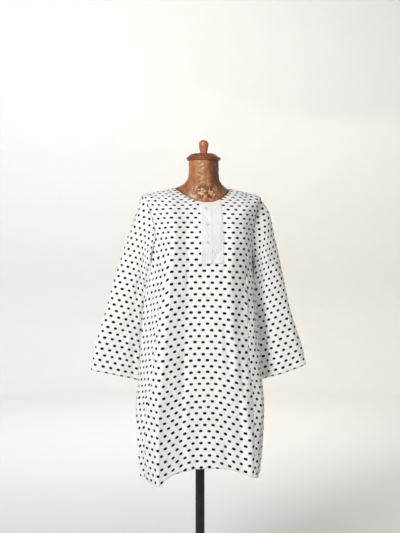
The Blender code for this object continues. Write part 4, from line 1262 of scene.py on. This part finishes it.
def turnedPiece(name, profile, centre, material, around=160):
    # the profile, radius and height from the top down, swept round the vertical axis
    profile = np.array(profile, float)
    turn = np.linspace(0, 2 * np.pi, around, endpoint=False)
    grid = np.stack(
        [
            centre[0] + profile[:, :1] * np.cos(turn),
            centre[1] + profile[:, :1] * np.sin(turn),
            np.broadcast_to(centre[2] + profile[:, 1:], (len(profile), around)),
        ],
        axis=-1,
    )
    faces = [*gridFaces(len(profile), around, True, flip=True).tolist(), list(range(around))]
    faces.append(list(range((len(profile) - 1) * around, len(profile) * around))[::-1])
    piece = addMesh(name, grid, faces, material)
    piece.data.set_sharp_from_angle(angle=math.radians(38))
    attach(piece, "root")
    return piece


def turnedWood(name, light, dark, rough, centre):
    # long fibres round the turned surface, darker pores and a satin varnish
    material, tree, shader = nodeTree(name)
    where = lessened(objectCoords(tree), centre)
    grain = noise(scaled(where, (60.0, 420.0, 420.0)), 1.0, 4.0, 0.6)
    cloud = noise(where, 45.0, 3.0)
    pores = noise(scaled(where, (260.0, 1900.0, 1900.0)), 1.0, 2.0)
    color = mixColor(ramp(grain, 0.35, 0.7), light, dark)
    color = mixColor(times(ramp(cloud, 0.45, 0.75), 0.5), color, dimmed(dark, 0.55))
    color = mixColor(times(ramp(pores, 0.62, 0.72), 0.6), color, dimmed(dark, 0.4))
    plug(shader, {"Base Color": color, "Roughness": ramp(cloud, 0.3, 0.7, rough - 0.08, rough + 0.10)})
    plug(shader, {"Coat Weight": 0.3, "Coat Roughness": 0.25, "Normal": bump(plus(grain, pores), 0.0003, 0.6)})
    return material


def darkIron(name):
    # near-black paint, glossier and duller in clouds, with fine pits and a few rust marks, all by noise
    material, tree, shader = nodeTree(name)
    where = objectCoords(tree)
    cloud = noise(where, 22.0, 5.0, 0.6)
    pits = noise(where, 380.0, 3.0)
    rust = ramp(noise(where, 60.0, 5.0, 0.65), 0.60, 0.78)
    color = mixColor(ramp(cloud, 0.35, 0.7), (0.006, 0.005, 0.005), (0.016, 0.013, 0.011))
    color = mixColor(times(rust, 0.3), color, (0.07, 0.030, 0.015))
    plug(shader, {"Base Color": color, "Metallic": 0.15, "Specular IOR Level": 0.42})
    plug(shader, {"Roughness": ramp(cloud, 0.3, 0.75, 0.18, 0.32), "Normal": bump(plus(pits, rust), 0.0004, 0.7)})
    return material


def arc(cx, cz, radius, start, end, count, tall=1.0):
    # points on a circle from one angle to another in degrees, stretched in height by tall
    a = np.radians(np.linspace(start, end, count))
    return [(cx + radius * math.cos(t), cz + tall * radius * math.sin(t)) for t in a]


neckY, neckTop = -0.0575, 1.4953
capProfile = [
    (0.001, 0.0210), (0.0180, 0.0210), (0.0400, 0.0206), (0.0416, 0.0197), (0.0470, 0.0158), (0.0530, 0.0107),
    *arc(0.0535, 0.0072, 0.0025, 75, -75, 11), (0.0536, 0.0040), (0.0545, 0.0034),
    *arc(0.0538, 0.0017, 0.0016, 60, -80, 8), (0.001, 0.0),
]
capWood = turnedWood("turned wood", (0.30, 0.085, 0.032), (0.15, 0.036, 0.016), 0.38, (0.0, neckY, neckTop))
cap = turnedPiece("turned_cap", capProfile, (0, neckY, neckTop), capWood, 200)
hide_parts("neck_cap")

pegDome = [(math.sin(t), math.cos(t)) for t in np.linspace(0, math.pi / 2, 14)]
pegProfile = [
    *[(0.001 + 0.0145 * out, 0.0326 + 0.0124 * up) for out, up in pegDome],
    (0.0156, 0.0290), (0.0152, 0.0245), (0.0142, 0.0190), (0.0130, 0.0120), (0.0121, 0.0050), (0.0117, 0.0),
    (0.001, 0.0),
]
pegWood = turnedWood("peg wood", (0.50, 0.175, 0.060), (0.30, 0.085, 0.030), 0.34, (0.0, neckY, neckTop))
peg = turnedPiece("turned_peg", pegProfile, (0, neckY, neckTop + 0.0213), pegWood, 120)
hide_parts("finial")

iron = darkIron("dark iron")
poleRadius = 0.01525
poleHeights = (0.7047, 0.60, 0.30, 0.0163)
poleProfile = [(0.001, poleHeights[0]), *((poleRadius, z) for z in poleHeights), (0.001, poleHeights[-1])]
pole = turnedPiece("iron_pole", poleProfile, (0, 0, 0), iron, 96)
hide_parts("pole")
baseProfile = [
    (0.001, 0.0160), (0.0440, 0.0160), *arc(0.0440, 0.0150, 0.0010, 80, 20, 4), (0.0600, 0.0138),
    (0.1200, 0.0118), (0.1700, 0.0104), (0.1810, 0.0100), *arc(0.1815, 0.0065, 0.0035, 80, 0, 8),
    (0.1850, 0.0008), (0.1842, 0.0), (0.001, 0.0),
]
base = turnedPiece("iron_base", baseProfile, (0, 0, 0), iron, 200)
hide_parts("base")
print("stage: stand", flush=True)


# Stage, lights and camera

stageLook = {"radius": 5.6, "bend": 0.9, "tall": 4.4, "steps": 96}


def plaster(name, hue, warmLitHue):
    # a matt wall with a painted warm light towards +X by a smooth step, with faint clouds and a slight grain
    material, tree, shader = nodeTree(name)
    where = objectCoords(tree)
    part = separate(where)
    cloud = noise(where, 1.3, 4.0, 0.5)
    # painted light: the wall turns to a warmer lit hue towards +X, as if lit warmly from that side
    side = ramp(timesPlus(cloud, 0.5, part["X"]), 0.15, 1.3)
    color = mixColor(side, hue, warmLitHue)
    color = mixColor(times(ramp(noise(where, 5.0, 5.0, 0.6), 0.35, 0.75), 0.06), color, dimmed(hue, 0.86))
    plug(shader, {"Base Color": color, "Roughness": 0.95, "Normal": bump(noise(where, 30.0, 4.0, 0.6), 0.003, 0.4)})
    return material


# the second colour is the painted warm light on the +X side
wallLook = plaster("plaster", (0.61, 0.615, 0.61), (0.63, 0.62, 0.59))
# a round floor that bends up into a wall, as one profile of radius and height turned about Z
bend = np.linspace(0, np.pi / 2, 9)
bendRadius = stageLook["radius"] - stageLook["bend"] * (1 - np.sin(bend))
bendHeight = stageLook["bend"] * (1 - np.cos(bend))
radius = np.concatenate([[0.02, 2.0, 4.5], bendRadius, [stageLook["radius"]]])
height = np.concatenate([[0.0, 0.0, 0.0], bendHeight, [stageLook["tall"]]]) - 0.0005
turn = np.linspace(0, 2 * np.pi, stageLook["steps"], endpoint=False)
rings = [radius[:, None] * np.cos(turn), radius[:, None] * np.sin(turn), height[:, None] + 0 * turn]
faces = [*gridFaces(len(radius), len(turn), True, flip=True).tolist(), list(range(len(turn)))]
studio = addMesh("studio", np.stack(rings, axis=-1), faces, wallLook)

# Lamps: name, place, aim, size, watts, colour.
lightLook = [
    ("key", (-3.2, -3.9, 3.5), (0.0, 0.0, 1.05), 1.9, 252.0, (1.0, 0.99, 0.98)),
    ("front fill", (0.3, -5.0, 2.2), (0.0, 0.0, 1.0), 2.6, 20.0, (1.0, 0.99, 0.975)),
    ("back fill", (2.2, 4.6, 3.4), (0.0, 0.0, 1.0), 2.0, 45.0, (1.0, 0.98, 0.96)),
    ("wall wash", (0.0, 2.4, 3.6), (0.0, 5.4, 0.5), 3.0, 138.0, (1.0, 0.99, 0.98)),
]
for label, spot, aim, size, watts, hue in lightLook:
    lamp = bpy.data.lights.new(label, "AREA")
    lamp.shape = "DISK"
    lamp.size = size
    lamp.energy = watts
    lamp.color = hue
    holder = bpy.data.objects.new(label, lamp)
    holder.visible_camera = False
    holder.location = spot
    holder.rotation_euler = (Vector(aim) - Vector(spot)).to_track_quat("-Z", "Y").to_euler()
    bpy.context.scene.collection.objects.link(holder)

world = bpy.data.worlds.new("pale room")
world.use_nodes = True
plug(world.node_tree.nodes["Background"], {"Color": (0.93, 0.95, 1.0, 1.0), "Strength": 0.28})
bpy.context.scene.world = world

cameraLook = {"azimuth": -12.0, "elevation": 1.518, "distance": 3.3, "target": (0.0, 0.0, 1.1505), "lens": 67.5}
lens = bpy.data.cameras.new("camera")
lens.sensor_fit = "VERTICAL"
lens.sensor_height = 36.0
lens.sensor_width = 36.0
lens.lens = cameraLook["lens"]
camera = bpy.data.objects.new("camera", lens)
a, e = math.radians(cameraLook["azimuth"]), math.radians(cameraLook["elevation"])
backward = Vector((math.sin(a) * math.cos(e), -math.cos(a) * math.cos(e), math.sin(e)))
camera.location = Vector(cameraLook["target"]) + backward * cameraLook["distance"]
camera.rotation_mode = "QUATERNION"
camera.rotation_quaternion = (-backward).to_track_quat("-Z", "Y")
bpy.context.scene.collection.objects.link(camera)
bpy.context.scene.camera = camera
bpy.context.scene.view_settings.view_transform = "Standard"
bpy.context.scene.view_settings.exposure = 0.0

print("stage: done", flush=True)
